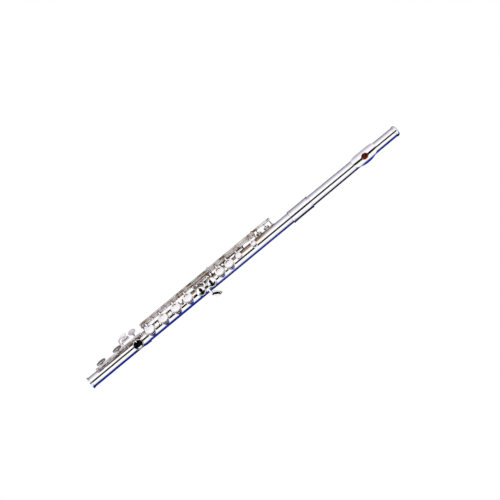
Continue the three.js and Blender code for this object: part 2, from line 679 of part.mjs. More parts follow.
function eflatKey() {
  const { s, size, angle } = footHoles.eflat;
  const touch = ovalPlate(493, 17, 7, 5.6, 14.2, 15.6, 0);
  const arm = strip([[FOOT.y, FOOT.z], [4, 17], [9, 16], [14, 15]], 1.5, 3, 493);
  const key = boredKey('eflat_key', FOOT, FOOT_POSTS[0] + POST_CLEAR, FOOT_POSTS[1] - POST_CLEAR,
    cup(size, s, angle), cupArm(FOOT, s, angle, size.cup), touch, arm);
  return [key, pad('eflat_pad', size, s, angle)];
}

function lowCsharpKey() {
  const { s, size, angle } = footHoles.low_csharp;
  const touch = ovalPlate(508.6, 19.6, 6.2, 3.4, 14.2, 15.6, 0);
  const arm = bar([[520.6, 0.5, 17], [520.4, 8, 16.6], [519, 16.5, 15.2], [511, 19.6, 14.9]], 1.1);
  const key = boredKey('low_csharp_key', FOOT, ...LOW_CSHARP_TUBE,
    cup(size, s, angle), cupArm(FOOT, s, angle, size.cup), touch, arm);
  return hinged(FOOT, FOOT_OPEN, key, pad('low_csharp_pad', size, s, angle));
}

function lowCKey() {
  const { s, size, angle } = footHoles.low_c;
  const end = FOOT_POSTS[2] - POST_CLEAR;
  const fork = (at) => strip([[FOOT.y + 9, 15.6], [ROLLER.y, ROLLER.z]], 2.4, 1.4, at, 2);
  const rail = strip([[7.6, 15.6], [9.4, 15.6]], 1.6, 15.6, 509.2, 2);
  const arm = strip([[FOOT.y, FOOT.z], [4, 16.6], [9, 15.6]], 1.6, 2.8, LOW_C_COLLAR[0] + 1.7);
  const whole = join(
    hingeTube(...LOW_C_COLLAR, FOOT), hingeTube(LOW_CSHARP_TUBE[1] + GAP, end, FOOT),
    rod(LOW_C_COLLAR[1] - 1, LOW_CSHARP_TUBE[1] + 1, STEEL_R, ROD_SIDES, FOOT),
    cup(size, s, angle), cupArm(FOOT, s, angle, size.cup), arm, rail,
    fork(ROLLER.start - 1.6), fork(ROLLER.end + 1.6));
  const pinLine = { y: ROLLER.y, z: ROLLER.z };
  const key = meshOf('low_c_key', cut(whole,
    hingeBore(LOW_C_COLLAR[0] - 1, LOW_C_COLLAR[0] + 2, FOOT),
    hingeBore(end - BLIND_DEPTH, end + 1, FOOT),
    rod(ROLLER.start - 5, ROLLER.end + 5, ROLLER.pinR + GAP, ROD_SIDES, pinLine)), silver);
  const roller = meshOf('low_c_roller', pipe(ROLLER.start, ROLLER.end, ROLLER.r,
    ROLLER.pinR + GAP, ROD_SIDES + 4, pinLine), silver);
  const pin = meshOf('roller_pin', rod(ROLLER.start - 2.2, ROLLER.end + 2.2, ROLLER.pinR,
    ROD_SIDES, pinLine), steel);
  return hinged(FOOT, FOOT_OPEN, key, pad('low_c_pad', size, s, angle), roller, pin);
}

// ---------------------------------------------------------------- assembly

const headJoint = new THREE.Group();
headJoint.add(headTube(), lipPlate(), embouchureRiser(), crown(), ...stopper());
headJoint.rotation.x = -rad(HEAD_TURN);

const bodyJoint = new THREE.Group();
bodyJoint.add(bodyTube(), barrel(), upperRib(), lowerRib(), thumbRib());
bodyJoint.add(
  steelRod('left_steel', UPPER_POST - 2.4, MIDDLE_POST - 0.2, MAIN),
  steelRod('right_steel', MIDDLE_POST + 0.2, LOWER_POST + 2.4, MAIN),
  steelRod('thumb_steel', THUMB_POSTS[0] - 2.4, THUMB_POSTS[1] + 2.4, THUMB),
  pivotUp('g_pivot_upper', G_POSTS[0], OFFSET_G), pivotDown('g_pivot_lower', G_POSTS[1], OFFSET_G),
  pivotUp('trill_pivot_upper', TRILL_HEAD_POST, TRILL),
  pivotDown('trill_pivot_lower', LOWER_POST, TRILL));
bodyJoint.add(...Object.keys(mainTubes).map(mainKey), gKey(), ...gsharpKey());
bodyJoint.add(...thumbKeys(), sideBflatLever(), ...trillKeys());

const footJoint = new THREE.Group();
footJoint.add(footTube(), footRib());
footJoint.add(
  steelRod('foot_steel', FOOT_POSTS[0] - 2.4, LOW_C_COLLAR[0] + 1.7, FOOT),
  pivotDown('foot_pivot', FOOT_POSTS[2], FOOT));
footJoint.add(...eflatKey(), lowCsharpKey(), lowCKey());
footJoint.rotation.x = -rad(FOOT_TURN);

// The origin is under the middle of the whole flute, at its lowest point.
const flute = new THREE.Group();
flute.add(headJoint, bodyJoint, footJoint);
const box = new THREE.Box3().setFromObject(flute, true);
const centre = box.getCenter(new THREE.Vector3());
flute.position.set(-centre.x, -centre.y, -box.min.z);

export default flute;
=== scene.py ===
"""Concert flute: the fine visual model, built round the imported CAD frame.

Shapes are made in flute millimetres and then laid in the frame. A point is (s, y, z): s is the
station along the tube from the embouchure hole towards the foot, y points to the player's side
and z to the side that the main key cups face, both from the tube's axis.
"""

import json
import math

import bmesh
import bpy
import numpy as np
from mathutils import Matrix, Vector

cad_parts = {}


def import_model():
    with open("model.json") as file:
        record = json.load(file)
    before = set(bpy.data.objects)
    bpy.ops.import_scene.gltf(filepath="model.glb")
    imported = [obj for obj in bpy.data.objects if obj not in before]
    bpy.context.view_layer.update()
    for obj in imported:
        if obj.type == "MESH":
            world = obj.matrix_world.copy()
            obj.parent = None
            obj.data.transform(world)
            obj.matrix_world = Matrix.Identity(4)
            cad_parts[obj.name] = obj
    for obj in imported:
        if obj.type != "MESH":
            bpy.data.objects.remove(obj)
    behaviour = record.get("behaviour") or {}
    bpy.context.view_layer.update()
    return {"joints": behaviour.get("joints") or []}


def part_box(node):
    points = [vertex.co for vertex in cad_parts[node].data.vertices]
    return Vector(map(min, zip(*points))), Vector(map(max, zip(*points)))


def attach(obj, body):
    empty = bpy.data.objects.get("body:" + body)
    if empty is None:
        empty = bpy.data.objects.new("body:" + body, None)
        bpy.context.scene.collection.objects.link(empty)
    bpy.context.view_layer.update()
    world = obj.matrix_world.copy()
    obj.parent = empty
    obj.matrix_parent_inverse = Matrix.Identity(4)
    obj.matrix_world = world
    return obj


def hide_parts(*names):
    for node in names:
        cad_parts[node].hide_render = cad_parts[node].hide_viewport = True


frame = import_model()

# ---------------- the frame's places

MM = 0.001
JOINTS = {joint["name"]: joint for joint in frame["joints"]}


def middle(node):
    low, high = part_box(node)
    return (low + high) / 2


def span(node):
    """The stations where a node begins and ends."""
    low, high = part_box(node)
    return (ORIGIN.x - high.x) / MM, (ORIGIN.x - low.x) / MM


ORIGIN = Vector((middle("embouchure_riser").x, middle("barrel").y, middle("barrel").z))


def hinge_line(joint):
    """A joint's line as (y, z) in flute millimetres."""
    place = JOINTS[joint]["pos_m"]
    return (place[1] - ORIGIN.y) / MM, (place[2] - ORIGIN.z) / MM


def turn_about(point, degrees):
    """A turn about the X line through (y, z), as a matrix in flute millimetres."""
    shift = Matrix.Translation(Vector((0, point[0], point[1])))
    return shift @ Matrix.Rotation(math.radians(degrees), 4, "X") @ shift.inverted()


FLUTE_TO_FRAME = Matrix.Translation(ORIGIN) @ Matrix.Scale(MM, 4)

HEAD_TURN = -18.0
FOOT_TURN = 23.0
AXIS = (0, 0)
HEAD = turn_about(AXIS, -HEAD_TURN)
BODY = Matrix.Identity(4)
FOOT = turn_about(AXIS, -FOOT_TURN)

MAIN = hinge_line("f_hinge")
G_LINE = hinge_line("g_hinge")
TRILL = hinge_line("d_trill_hinge")
THUMB = hinge_line("thumb_b_hinge")
FOOT_LINE = (0.0, math.hypot(*hinge_line("eflat_hinge")))

BORE_R = 9.5
TUBE_R = 9.9
WALL = 0.4
HEAD_R = 8.9  # the head tube's radius at its crown end
HINGE_R = 2.0
SEAT_H = 12.0
CUP_H0, CUP_H1 = 12.9, 15.6
PAD_H0, PAD_H1 = 12.3, 14.5

# ---------------- mesh making


class Piece:
    """Collects closed shells in flute millimetres and makes one object of them."""

    def __init__(self, name, body=None, slot="silver", turn=BODY, replaced=()):
        self.name, self.body, self.slot = name, body, slot
        self.replaced, self.turn = replaced, turn
        self.points, self.faces = [], []
        self.tarnished = range(0)

    def add(self, points, faces, matrix=None):
        start = len(self.points)
        for point in points:
            place = Vector(point)
            self.points.append(matrix @ place if matrix else place)
        self.faces += [[start + corner for corner in face] for face in faces]
        return self

    def make(self, material, cutters=(), sharp=38):
        mesh = bpy.data.meshes.new(self.name)
        mesh.from_pydata(self.points, [], self.faces)
        mesh.materials.append(material)
        if self.tarnished:
            mesh.materials.append(SILVER_ROD)
            mesh.polygons.foreach_set("material_index",
                                      [int(face in self.tarnished) for face in range(len(self.faces))])
        mesh.validate()
        clean(mesh)
        piece = bpy.data.objects.new(self.name, mesh)
        bpy.context.scene.collection.objects.link(piece)
        for cutter in cutters:
            subtract(piece, cutter)
        piece.data.transform(FLUTE_TO_FRAME @ self.turn)
        mesh = piece.data
        mesh.polygons.foreach_set("use_smooth", [True] * len(mesh.polygons))
        mesh.set_sharp_from_angle(angle=math.radians(sharp))
        if cutters:
            mesh.materials.clear()
            mesh.materials.append(material)
        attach(piece, self.body)
        if self.replaced:
            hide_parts(*self.replaced)
        return piece


def fine(node, body, slot="silver", turn=BODY):
    """The piece that takes a CAD node's place."""
    return Piece(f"{node}_fine", body, slot, turn, [node])


def clean(mesh):
    """Merges doubled points, drops flat faces and turns every face outwards."""
    work = bmesh.new()
    work.from_mesh(mesh)
    bmesh.ops.remove_doubles(work, verts=work.verts, dist=1e-4)
    bmesh.ops.dissolve_degenerate(work, edges=work.edges, dist=1e-5)
    bmesh.ops.recalc_face_normals(work, faces=work.faces)
    work.to_mesh(mesh)
    work.free()


def subtract(piece, shells):
    """Cuts closed shells, a Piece that is never made itself, out of a piece."""
    mesh = bpy.data.meshes.new("cutter")
    mesh.from_pydata(shells.points, [], shells.faces)
    clean(mesh)
    cutter = bpy.data.objects.new("cutter", mesh)
    bpy.context.scene.collection.objects.link(cutter)
    modifier = piece.modifiers.new("cut", "BOOLEAN")
    modifier.operation, modifier.solver, modifier.object = "DIFFERENCE", "EXACT", cutter
    bpy.context.view_layer.update()
    graph = bpy.context.evaluated_depsgraph_get()
    result = bpy.data.meshes.new_from_object(piece.evaluated_get(graph))
    piece.modifiers.clear()
    piece.data = result
    bpy.data.objects.remove(cutter)


def rounded(corners, steps=4):
    """A profile of (a, b, radius) corners with each corner rounded to its radius."""
    count = len(corners)
    points = []
    for i, corner in enumerate(corners):
        here = Vector(corner[:2])
        radius = corner[2] if len(corner) > 2 else 0
        if not radius or i in (0, count - 1):
            points.append(tuple(here))
            continue
        back = Vector(corners[i - 1][:2]) - here
        ahead = Vector(corners[i + 1][:2]) - here
        reach = min(radius, 0.49 * back.length, 0.49 * ahead.length)
        first, last = here + back.normalized() * reach, here + ahead.normalized() * reach
        for k in range(steps + 1):
            t = k / steps
            points.append(tuple((1 - t) ** 2 * first + 2 * t * (1 - t) * here + t * t * last))
    return points


def lathe(profile, sides, closed=False, squash=(1.0, 1.0)):
    """Points and faces of a (radius, height) profile turned about local Z. Ends on the axis close."""
    ring = len(profile)
    points = []
    for angle in round_angles(sides):
        for r, h in profile:
            points.append((r * math.cos(angle) * squash[0], r * math.sin(angle) * squash[1], h))
    faces = [face for face in skin(sides, ring, closed)
             if profile[face[0] % ring][0] or profile[face[3] % ring][0]]
    return points, faces


def round_angles(sides):
    return [2 * math.pi * i / sides for i in range(sides)]


def skin(rings, ring, closed=True):
    """Faces between each ring of points and the next, round to the first again. A ring that isn't
    closed leaves out the face from its last point to its first."""
    faces = []
    for i in range(rings):
        j = (i + 1) % rings
        for k in range(ring if closed else ring - 1):
            m = (k + 1) % ring
            faces.append([i * ring + k, j * ring + k, j * ring + m, i * ring + m])
    return faces


def along(line=AXIS):
    """Lays local Z along the stations, at (y, z) across the tube."""
    return Matrix(((0, 0, -1, 0), (1, 0, 0, line[0]), (0, -1, 0, line[1]), (0, 0, 0, 1)))


def outward(s, angle):
    """Stands local Z outwards at a station and an angle from +Z towards +Y."""
    a = math.radians(angle)
    return Matrix((
        (1, 0, 0, -s), (0, math.cos(a), math.sin(a), 0), (0, -math.sin(a), math.cos(a), 0),
        (0, 0, 0, 1)))


def turned(piece, profile, sides, line=AXIS, closed=False):
    """A (station, radius) profile turned about a line along the flute."""
    shape = lathe([(point[1], point[0]) for point in profile], sides, closed)
    return piece.add(*shape, along(line))


def upright(piece, profile, sides, s, angle, squash=(1.0, 1.0)):
    return piece.add(*lathe(profile, sides, squash=squash), outward(s, angle))


def rod(piece, s0, s1, r, line):
    profile = [(s0, 0), (s0, r, 0.15), (s1, r, 0.15), (s1, 0)]
    return turned(piece, rounded(profile, 2), 24, line)


def pipe(piece, s0, s1, r, bore, line, sides=28, edge=0.15):
    profile = [
        (s0, bore), (s0 + edge / 2, r - edge / 2), (s0 + edge, r), (s1 - edge, r),
        (s1 - edge / 2, r - edge / 2), (s1, bore),
    ]
    return turned(piece, profile, sides, line, closed=True)


def smooth_path(points, steps):
    """A Catmull-Rom line through points, with its tangents."""
    knots = [np.array(point, float) for point in points]
    knots = [2 * knots[0] - knots[1], *knots, 2 * knots[-1] - knots[-2]]
    line = []
    for i in range(1, len(knots) - 2):
        a, b, c, d = knots[i - 1:i + 3]
        for k in range(steps):
            t = k / steps
            line.append(0.5 * (2 * b + (c - a) * t + (2 * a - 5 * b + 4 * c - d) * t * t
                               + (3 * b - a - 3 * c + d) * t ** 3))
    line.append(knots[-2])
    line = np.array(line)
    tangents = np.gradient(line, axis=0)
    return line, tangents / np.linalg.norm(tangents, axis=1)[:, None]


def superellipse(value, power):
    """A sine or cosine raised to a power with its sign kept. Powers below 1 make fuller corners."""
    return math.copysign(abs(value) ** power, value)


def arm(piece, points, widths, depths, steps=7, sides=16, flat=2.6, across=(1, 0, 0)):
    """A bar of rounded section along (s, y, z) points. Widths run along `across`, depths along the
    other way, each a list of values spread evenly from start to end."""
    line, tangents = smooth_path([(-s, y, z) for s, y, z in points], steps)
    count = len(line)
    where = np.linspace(0, 1, count)
    width = np.interp(where, np.linspace(0, 1, len(widths)), widths)
    depth = np.interp(where, np.linspace(0, 1, len(depths)), depths)
    side = np.array(across, float)
    shell = []
    for i in range(count):
        u = side - tangents[i] * side.dot(tangents[i])
        u /= np.linalg.norm(u)
        v = np.cross(tangents[i], u)
        for a in round_angles(sides):
            x = superellipse(math.cos(a), 2 / flat) * width[i] / 2
            y = superellipse(math.sin(a), 2 / flat) * depth[i] / 2
            shell.append(tuple(line[i] + u * x + v * y))
    faces = skin(count, sides)[:-sides]
    for end, tip in ((0, line[0] - tangents[0] * depths[0] * 0.3),
                     (count - 1, line[-1] + tangents[-1] * depths[-1] * 0.3)):
        shell.append(tuple(tip))
        for k in range(sides):
            faces.append([end * sides + k, end * sides + (k + 1) % sides, len(shell) - 1])
    return piece.add(shell, faces)


def ball(piece, s, line, r):
    profile = [(r * math.sin(math.pi * k / 12), -r * math.cos(math.pi * k / 12)) for k in range(13)]
    return piece.add(*lathe(profile, 24), Matrix.Translation(Vector((-s, *line))))


# ---------------- materials


class Nodes:
    """A node tree, with short ways to add nodes and join them."""

    def __init__(self, owner):
        owner.use_nodes = True
        self.nodes, self.links = owner.node_tree.nodes, owner.node_tree.links

    def set(self, node, inputs):
        """Gives each named or numbered input a value, or joins it to another node's output."""
        for socket, value in inputs.items():
            if isinstance(value, bpy.types.NodeSocket):
                self.links.new(value, node.inputs[socket])
            else:
                node.inputs[socket].default_value = value

    def node(self, kind, inputs, **settings):
        node = self.nodes.new(f"ShaderNode{kind}")
        for name, value in settings.items():
            setattr(node, name, value)
        self.set(node, inputs)
        return node

    def add(self, kind, output, inputs, **settings):
        """Adds a node and gives one of its outputs."""
        return self.node(kind, inputs, **settings).outputs[output]

    def place(self, kind="Object"):
        return self.add("TexCoord", kind, {})

    def stretched(self, scale=(1, 1, 1)):
        """Object coordinates stretched by a scale, for marks that run along the flute."""
        return self.add("Mapping", "Vector", {"Scale": scale, "Vector": self.place()})

    def noise(self, scale, detail, vector, distortion=0.0):
        return self.add("TexNoise", "Fac", {"Scale": scale, "Detail": detail, "Distortion": distortion,
                                            "Vector": vector})

    def ramp(self, source, stops):
        node = self.node("ValToRGB", {"Fac": source})
        elements = node.color_ramp.elements
        while len(elements) < len(stops):
            elements.new(0.5)
        for element, (place, colour) in zip(elements, stops):
            element.position = place
            element.color = (*colour, 1)
        return node.outputs["Color"]

    def mix(self, factor, first, second, **settings):
        """Mixes two colours, which are the Mix node's inputs 6 and 7 and its output 2."""
        return self.add("Mix", 2, {"Factor": factor, 6: first, 7: second}, data_type="RGBA", **settings)

    def bump(self, shader, height, strength, distance):
        normal = self.add("Bump", "Normal", {"Strength": strength, "Distance": distance, "Height": height})
        self.set(shader, {"Normal": normal})


def new_material(name):
    material = bpy.data.materials.new(name)
    tree = Nodes(material)
    return material, tree, tree.nodes["Principled BSDF"]


def grey(value):
    return (value, value, value)


# Painted shade, tinted brown, by how open a place is, from 0, a closed corner, to 1, an open face.
LIGHT_PAINTED_SHADE = [(0.12, (0.02, 0.011, 0.007)), (0.4, (0.3, 0.18, 0.1)), (0.62, (0.78, 0.66, 0.54)),
                 (0.8, (1.0, 1.0, 1.0))]
KEY_PAINTED_SHADE = [(0.22, (0.012, 0.006, 0.006)), (0.5, (0.13, 0.065, 0.045)), (0.7, (0.52, 0.38, 0.3)),
               (0.9, (1.0, 1.0, 1.0))]


def polished_metal(name, bright, worn, rough_low, rough_high, scratches=0.03, grain=(40, 900, 900),
                   reach=0.004, shade_stops=LIGHT_PAINTED_SHADE, patches=None):
    """Polished metal: cloudy wear in colour and gloss, fine polishing marks round the tube, and
    painted shade, tinted brown, in the corners within a reach, in metres."""
    material, tree, shader = new_material(name)
    plain = tree.stretched()
    clean_metal = tree.ramp(tree.noise(55, 5, plain, 0.4), patches or [(0.32, worn), (0.58, bright)])
    # Painted shade: the AO node darkens the colour towards brown-black in closed corners and gaps between
    # parts.
    corners = tree.add("AmbientOcclusion", "AO", {"Distance": reach}, samples=8)
    shaded = tree.mix(1.0, clean_metal, tree.ramp(corners, shade_stops), blend_type="MULTIPLY")
    smears = tree.noise(160, 6, plain, 0.8)
    rough = tree.ramp(smears, [(0.3, grey(rough_low)), (0.75, grey(rough_high))])
    tree.set(shader, {"Metallic": 1.0, "Base Color": shaded, "Roughness": rough})
    tree.bump(shader, tree.noise(1.0, 3, tree.stretched(grain)), scratches, 0.00005)
    return material


def bored_silver(name, limit):
    """The same polished plate, with a dull brown bore inside a radius, in metres, of the axis: the brown
    is tarnish with painted shade.
    """
    material = polished_metal(name, *PLATE)
    tree = Nodes(material)
    shader = tree.nodes["Principled BSDF"]
    centred = tree.add("VectorMath", "Vector", {0: tree.place(), 1: ORIGIN}, operation="SUBTRACT")
    across = tree.add("VectorMath", "Vector", {0: centred, 1: (0, 1, 1)}, operation="MULTIPLY")
    radius = tree.add("VectorMath", "Value", {0: across}, operation="LENGTH")
    inside = tree.add("Math", "Value", {0: radius, 1: limit}, operation="LESS_THAN")
    # The bore's brown colour is tarnish with painted shade inside the tube.
    for socket, value in (("Base Color", (0.95, 0.33, 0.1, 1)), ("Roughness", (0.45, 0.45, 0.45, 1))):
        outer = shader.inputs[socket].links[0].from_socket
        tree.set(shader, {socket: tree.mix(inside, outer, value)})
    return material


def skin_material():
    """A felt pad under thin animal skin: cream, faintly creased and a little shiny."""
    material, tree, shader = new_material("pad_skin")
    plain = tree.stretched()
    clouds = tree.noise(420, 6, plain, 1.2)
    cream = tree.ramp(clouds, [(0.3, (0.72, 0.56, 0.33)), (0.7, (0.9, 0.8, 0.58))])
    tree.set(shader, {"Base Color": cream, "Roughness": 0.42, "Sheen Weight": 0.25})
    tree.bump(shader, tree.noise(900, 8, plain, 2.0), 0.35, 0.0002)
    return material


def cork_material():
    material, tree, shader = new_material("cork")
    plain = tree.stretched()
    cells = tree.add("TexVoronoi", "Distance", {"Scale": 700, "Vector": plain})
    brown = tree.ramp(tree.noise(260, 8, plain, 0.6), [
        (0.35, (0.23, 0.11, 0.045)), (0.5, (0.55, 0.34, 0.17)), (0.75, (0.68, 0.46, 0.26))])
    tree.set(shader, {"Base Color": brown, "Roughness": 0.85})
    tree.bump(shader, cells, 0.4, 0.0003)
    return material


# Bright and worn colours, and the least and most roughness.
PLATE = ((0.93, 0.93, 0.94), (0.86, 0.85, 0.84), 0.02, 0.06)

SILVER = polished_metal("silver_plate", *PLATE)
SILVER_TUBE = bored_silver("silver_tube", (BORE_R + 0.2) * MM)
HEAD_SILVER = bored_silver("silver_head", (HEAD_R - 0.01) * MM)
# The riser is coloured brown all over: tarnish with painted shade, like the bore.
RISER_SILVER = polished_metal("silver_riser", (0.95, 0.38, 0.13), (0.75, 0.25, 0.09), 0.3, 0.5)
SILVER_CUP = polished_metal("silver_cup", (0.94, 0.94, 0.94), (0.88, 0.86, 0.83), 0.03, 0.1,
                            grain=(500, 500, 500), reach=0.008, shade_stops=KEY_PAINTED_SHADE)
SILVER_ROD = polished_metal("silver_rod", (0.9, 0.89, 0.88), (0.72, 0.62, 0.5), 0.1, 0.2,
                            reach=0.008, shade_stops=KEY_PAINTED_SHADE, patches=[
                                (0.33, (0.14, 0.07, 0.055)), (0.41, (0.42, 0.28, 0.18)),
                                (0.48, (0.8, 0.74, 0.73)), (0.62, (0.93, 0.91, 0.93))])
STEEL = polished_metal("ground_steel", (0.6, 0.6, 0.62), (0.45, 0.43, 0.42), 0.18, 0.35, 0.15)
BLUED = polished_metal("blued_steel", (0.07, 0.09, 0.2), (0.12, 0.08, 0.14), 0.22, 0.38)
SKIN = skin_material()
CORK = cork_material()

# ---------------- tubes and tone holes

RH = {"cup": 9.0, "hole": 7.1}
LH = {"cup": 8.5, "hole": 6.6}
THUMB_SIZE = {"cup": 8.3, "hole": 6.4}
SMALL = {"cup": 5.2, "hole": 3.4}
CHIMNEY_WALL = 0.5
AIR_COLUMN, END_CORRECTION = 659.7, 57.7
SMALL_SHIFT = 15  # a small hole lies this much nearer to the embouchure than a full-sized one
FOOT_ANGLE, G_ANGLE = 46, -20


def tone_hole(n):
    """The station of the hole that sounds n semitones above the lowest note."""
    return AIR_COLUMN * 2 ** (-n / 12) - END_CORRECTION


BODY_HOLES = {
    "csharp": (tone_hole(13) - SMALL_SHIFT, SMALL, 0),
    "bflat": (tone_hole(11), LH, 0),
    "a": (tone_hole(10), LH, 0),
    "upper_g": (tone_hole(9), RH, G_ANGLE),
    "lower_g": (tone_hole(8), RH, G_ANGLE),
    "gsharp": (tone_hole(8), LH, 125),
    "thumb": (tone_hole(12), THUMB_SIZE, 145),
    "fsharp": (tone_hole(7), RH, 0),
    "f": (tone_hole(6), RH, 0),
    "e": (tone_hole(5), RH, 0),
    "d": (tone_hole(4), RH, 0),
    "d_trill": (tone_hole(14) - SMALL_SHIFT, SMALL, 90),
    "dsharp_trill": (tone_hole(15) - SMALL_SHIFT, SMALL, 90),
}
FOOT_HOLES = {
    "eflat": (tone_hole(3), RH, -FOOT_ANGLE),
    "low_csharp": (tone_hole(2), RH, FOOT_ANGLE),
    "low_c": (tone_hole(1), RH, FOOT_ANGLE),
}


def chimney(piece, s, size, angle):
    """A drawn tone hole: it flares out of the tube's wall and ends in a rolled rim."""
    outer, inner = size["hole"] + CHIMNEY_WALL, size["hole"]
    flare, sides = 1.3, 64
    quarter = [math.pi / 2 * k / 6 for k in range(7)]
    levels = [(outer + flare * (1 - math.sin(a)), True, flare * (1 - math.cos(a))) for a in quarter]
    levels += [(outer, False, SEAT_H - 0.75), (outer + 0.28, False, SEAT_H - 0.5),
               (outer + 0.36, False, SEAT_H - 0.2), (outer + 0.2, False, SEAT_H - 0.03),
               (outer - 0.1, False, SEAT_H), (inner, False, SEAT_H - 0.12), (inner, True, -0.35),
               (outer + flare, True, -0.2)]
    points = []
    for a in round_angles(sides):
        for r, on_tube, value in levels:
            t = r * math.sin(a)
            height = value + (math.sqrt(max(TUBE_R ** 2 - t * t, 0)) if on_tube else 0)
            points.append((r * math.cos(a), t, min(height, SEAT_H)))
    piece.add(points, skin(sides, len(levels)), outward(s, angle))


def divided(s0, s1, step):
    count = max(1, round((s1 - s0) / step))
    return [s0 + (s1 - s0) * k / count for k in range(count + 1)]


def hole_cutter(holes):
    cutter = Piece("cutter")
    for s, size, angle in holes.values():
        r = size["hole"]
        upright(cutter, [(0, 2), (r, 2), (r, SEAT_H + 2), (0, SEAT_H + 2)], 64, s, angle)
    return cutter


def rims(name, body, holes, turn):
    piece = Piece(name, body, turn=turn)
    for hole in holes.values():
        chimney(piece, *hole)
    piece.make(SILVER)


def body_tube():
    s0, s1 = span("body_tube")
    piece = fine("body_tube", "body_joint")
    stations = divided(s0, s1, 6)
    profile = [(s, TUBE_R) for s in stations] + [(s, BORE_R) for s in reversed(stations)]
    turned(piece, profile, 112, closed=True)
    piece.make(SILVER_TUBE, [hole_cutter(BODY_HOLES)], sharp=30)
    rims("body_tone_holes", "body_joint", BODY_HOLES, BODY)


def barrel():
    s0, s1 = span("barrel")
    outside = rounded([
        (s0, 10.2), (s0, 11.5, 0.5), (s0 + 1.1, 11.6, 0.4), (s0 + 1.9, 11.25, 0.2),
        (s0 + 2.6, 11.6, 0.4), (s0 + 3.4, 11.1, 0.3), (s0 + 12, 11.05), (s1 - 12, 11.05),
        (s1 - 6.4, 11.1, 0.3), (s1 - 5.6, 11.6, 0.4), (s1 - 4.8, 11.2, 0.2), (s1 - 3.4, 11.2, 0.2),
        (s1 - 2.4, 11.6, 0.5), (s1 - 0.6, 11.6, 0.5), (s1, 11.0, 0.3), (s1, 10.2),
    ])
    piece = fine("barrel", "body_joint")
    turned(piece, outside + [(s1, 9.95), (s0, 9.95)], 112, closed=True)
    piece.make(SILVER)


def foot_tube():
    s0, s1 = span("foot_tube")
    seat = s0 + 13
    outside = rounded([
        (s0, 10.2), (s0, 11.2, 0.4), (s0 + 1.2, 11.3, 0.5), (s0 + 2.2, 10.9, 0.2),
        (s0 + 2.9, 11.2, 0.4), (s0 + 3.6, 10.9, 0.3), (seat - 2, 10.9, 0.6), (seat + 1.5, TUBE_R, 0.8),
    ])
    outside += [(s, TUBE_R) for s in divided(seat + 2.5, s1 - 5, 6)]
    outside += rounded([
        (s1 - 4.4, TUBE_R), (s1 - 3.6, TUBE_R, 0.3), (s1 - 3.2, 10.5, 0.3), (s1 - 2.4, 10.2, 0.2),
        (s1 - 1.8, 10.85, 0.5), (s1 - 0.3, 10.9, 0.5), (s1, 10.2, 0.3), (s1, BORE_R),
    ])
    inside = [(s, BORE_R) for s in divided(seat + 0.6, s1, 6)][::-1] + [(seat, 10.2), (s0, 10.2)]
    piece = fine("foot_tube", "foot_joint", turn=FOOT)
    turned(piece, outside + inside[1:-1], 112, closed=True)
    piece.make(SILVER_TUBE, [hole_cutter(FOOT_HOLES)], sharp=30)
    rims("foot_tone_holes", "foot_joint", FOOT_HOLES, FOOT)


# ---------------- head joint

BLOW = {"long": 6.1, "wide": 5.2}
HEAD_START, HEAD_END = span("head_tube")
TAPER_END = span("barrel")[0]


def head_radius(s):
    t = min(max((s - HEAD_START) / (TAPER_END - HEAD_START), 0), 1)
    return HEAD_R + t * (TUBE_R - HEAD_R)


def head_tube():
    piece = fine("head_tube", "head_joint", turn=HEAD)
    stations = divided(HEAD_START, HEAD_END, 6)
    profile = [(s, head_radius(s)) for s in stations]
    profile += [(s, head_radius(s) - WALL) for s in reversed(stations)]
    turned(piece, profile, 112, closed=True)
    cutter = Piece("cutter")
    upright(cutter, [(0, 3), (1, 3), (1, 16), (0, 16)], 64, 0, 0, squash=(BLOW["long"], BLOW["wide"]))
    piece.make(HEAD_SILVER, [cutter], sharp=30)


def lip_top(a, t):
    """Height of the lip plate's upper face at a along the tube and t across it."""
    crown_radius = 13.0 - (1.0 - 0.05 * t) * min(abs(a) / 25, 1) ** 3
    return math.sqrt(max(crown_radius ** 2 - t * t, 1.0))


def lip_edge(angle, share):
    """A point of the plan between the blow hole's edge, share 0, and the plate's, share 1."""
    cos, sin = math.cos(angle), math.sin(angle)
    power = 2 / (2.1 if sin < 0 else 5)
    reach = 12.2 if sin < 0 else 11.4
    outer = (superellipse(cos, power) * 25, superellipse(sin, power) * reach)
    inner = (cos * (BLOW["long"] + 0.5), sin * (BLOW["wide"] + 0.5))
    return (inner[0] + (outer[0] - inner[0]) * share, inner[1] + (outer[1] - inner[1]) * share)


def lip_plate():
    """The saddle round the blow hole, with a rolled outer edge and a rounded blowing edge."""
    sides, thickness, flat_share, steps = 128, 0.95, 0.985, 14
    levels = [(k / steps * flat_share, 0.0) for k in range(steps + 1)]
    for k in range(1, 6):
        t = math.pi * k / 6
        levels.append((flat_share + (1 - flat_share) * math.sin(t), thickness / 2 * (1 - math.cos(t))))
    levels += [(k / steps * flat_share, thickness) for k in range(steps - 2, -1, -1)]
    edge = ((0.25, 0.85), (0.06, 0.55), (0.0, 0.35), (0.12, 0.1))
    points = []
    for angle in round_angles(sides):
        for share, drop in levels:
            a, t = lip_edge(angle, share)
            points.append((a, t, lip_top(a, t) - drop))
        for scale, drop in edge:
            a, t = lip_edge(angle, 0)
            shrink = 1 - (0.5 - scale) / math.hypot(a, t)
            points.append((a * shrink, t * shrink, lip_top(a, t) - drop))
    piece = fine("lip_plate", "head_joint", turn=HEAD)
    piece.add(points, skin(sides, len(levels) + len(edge)), outward(0, 0)).make(SILVER, sharp=60)


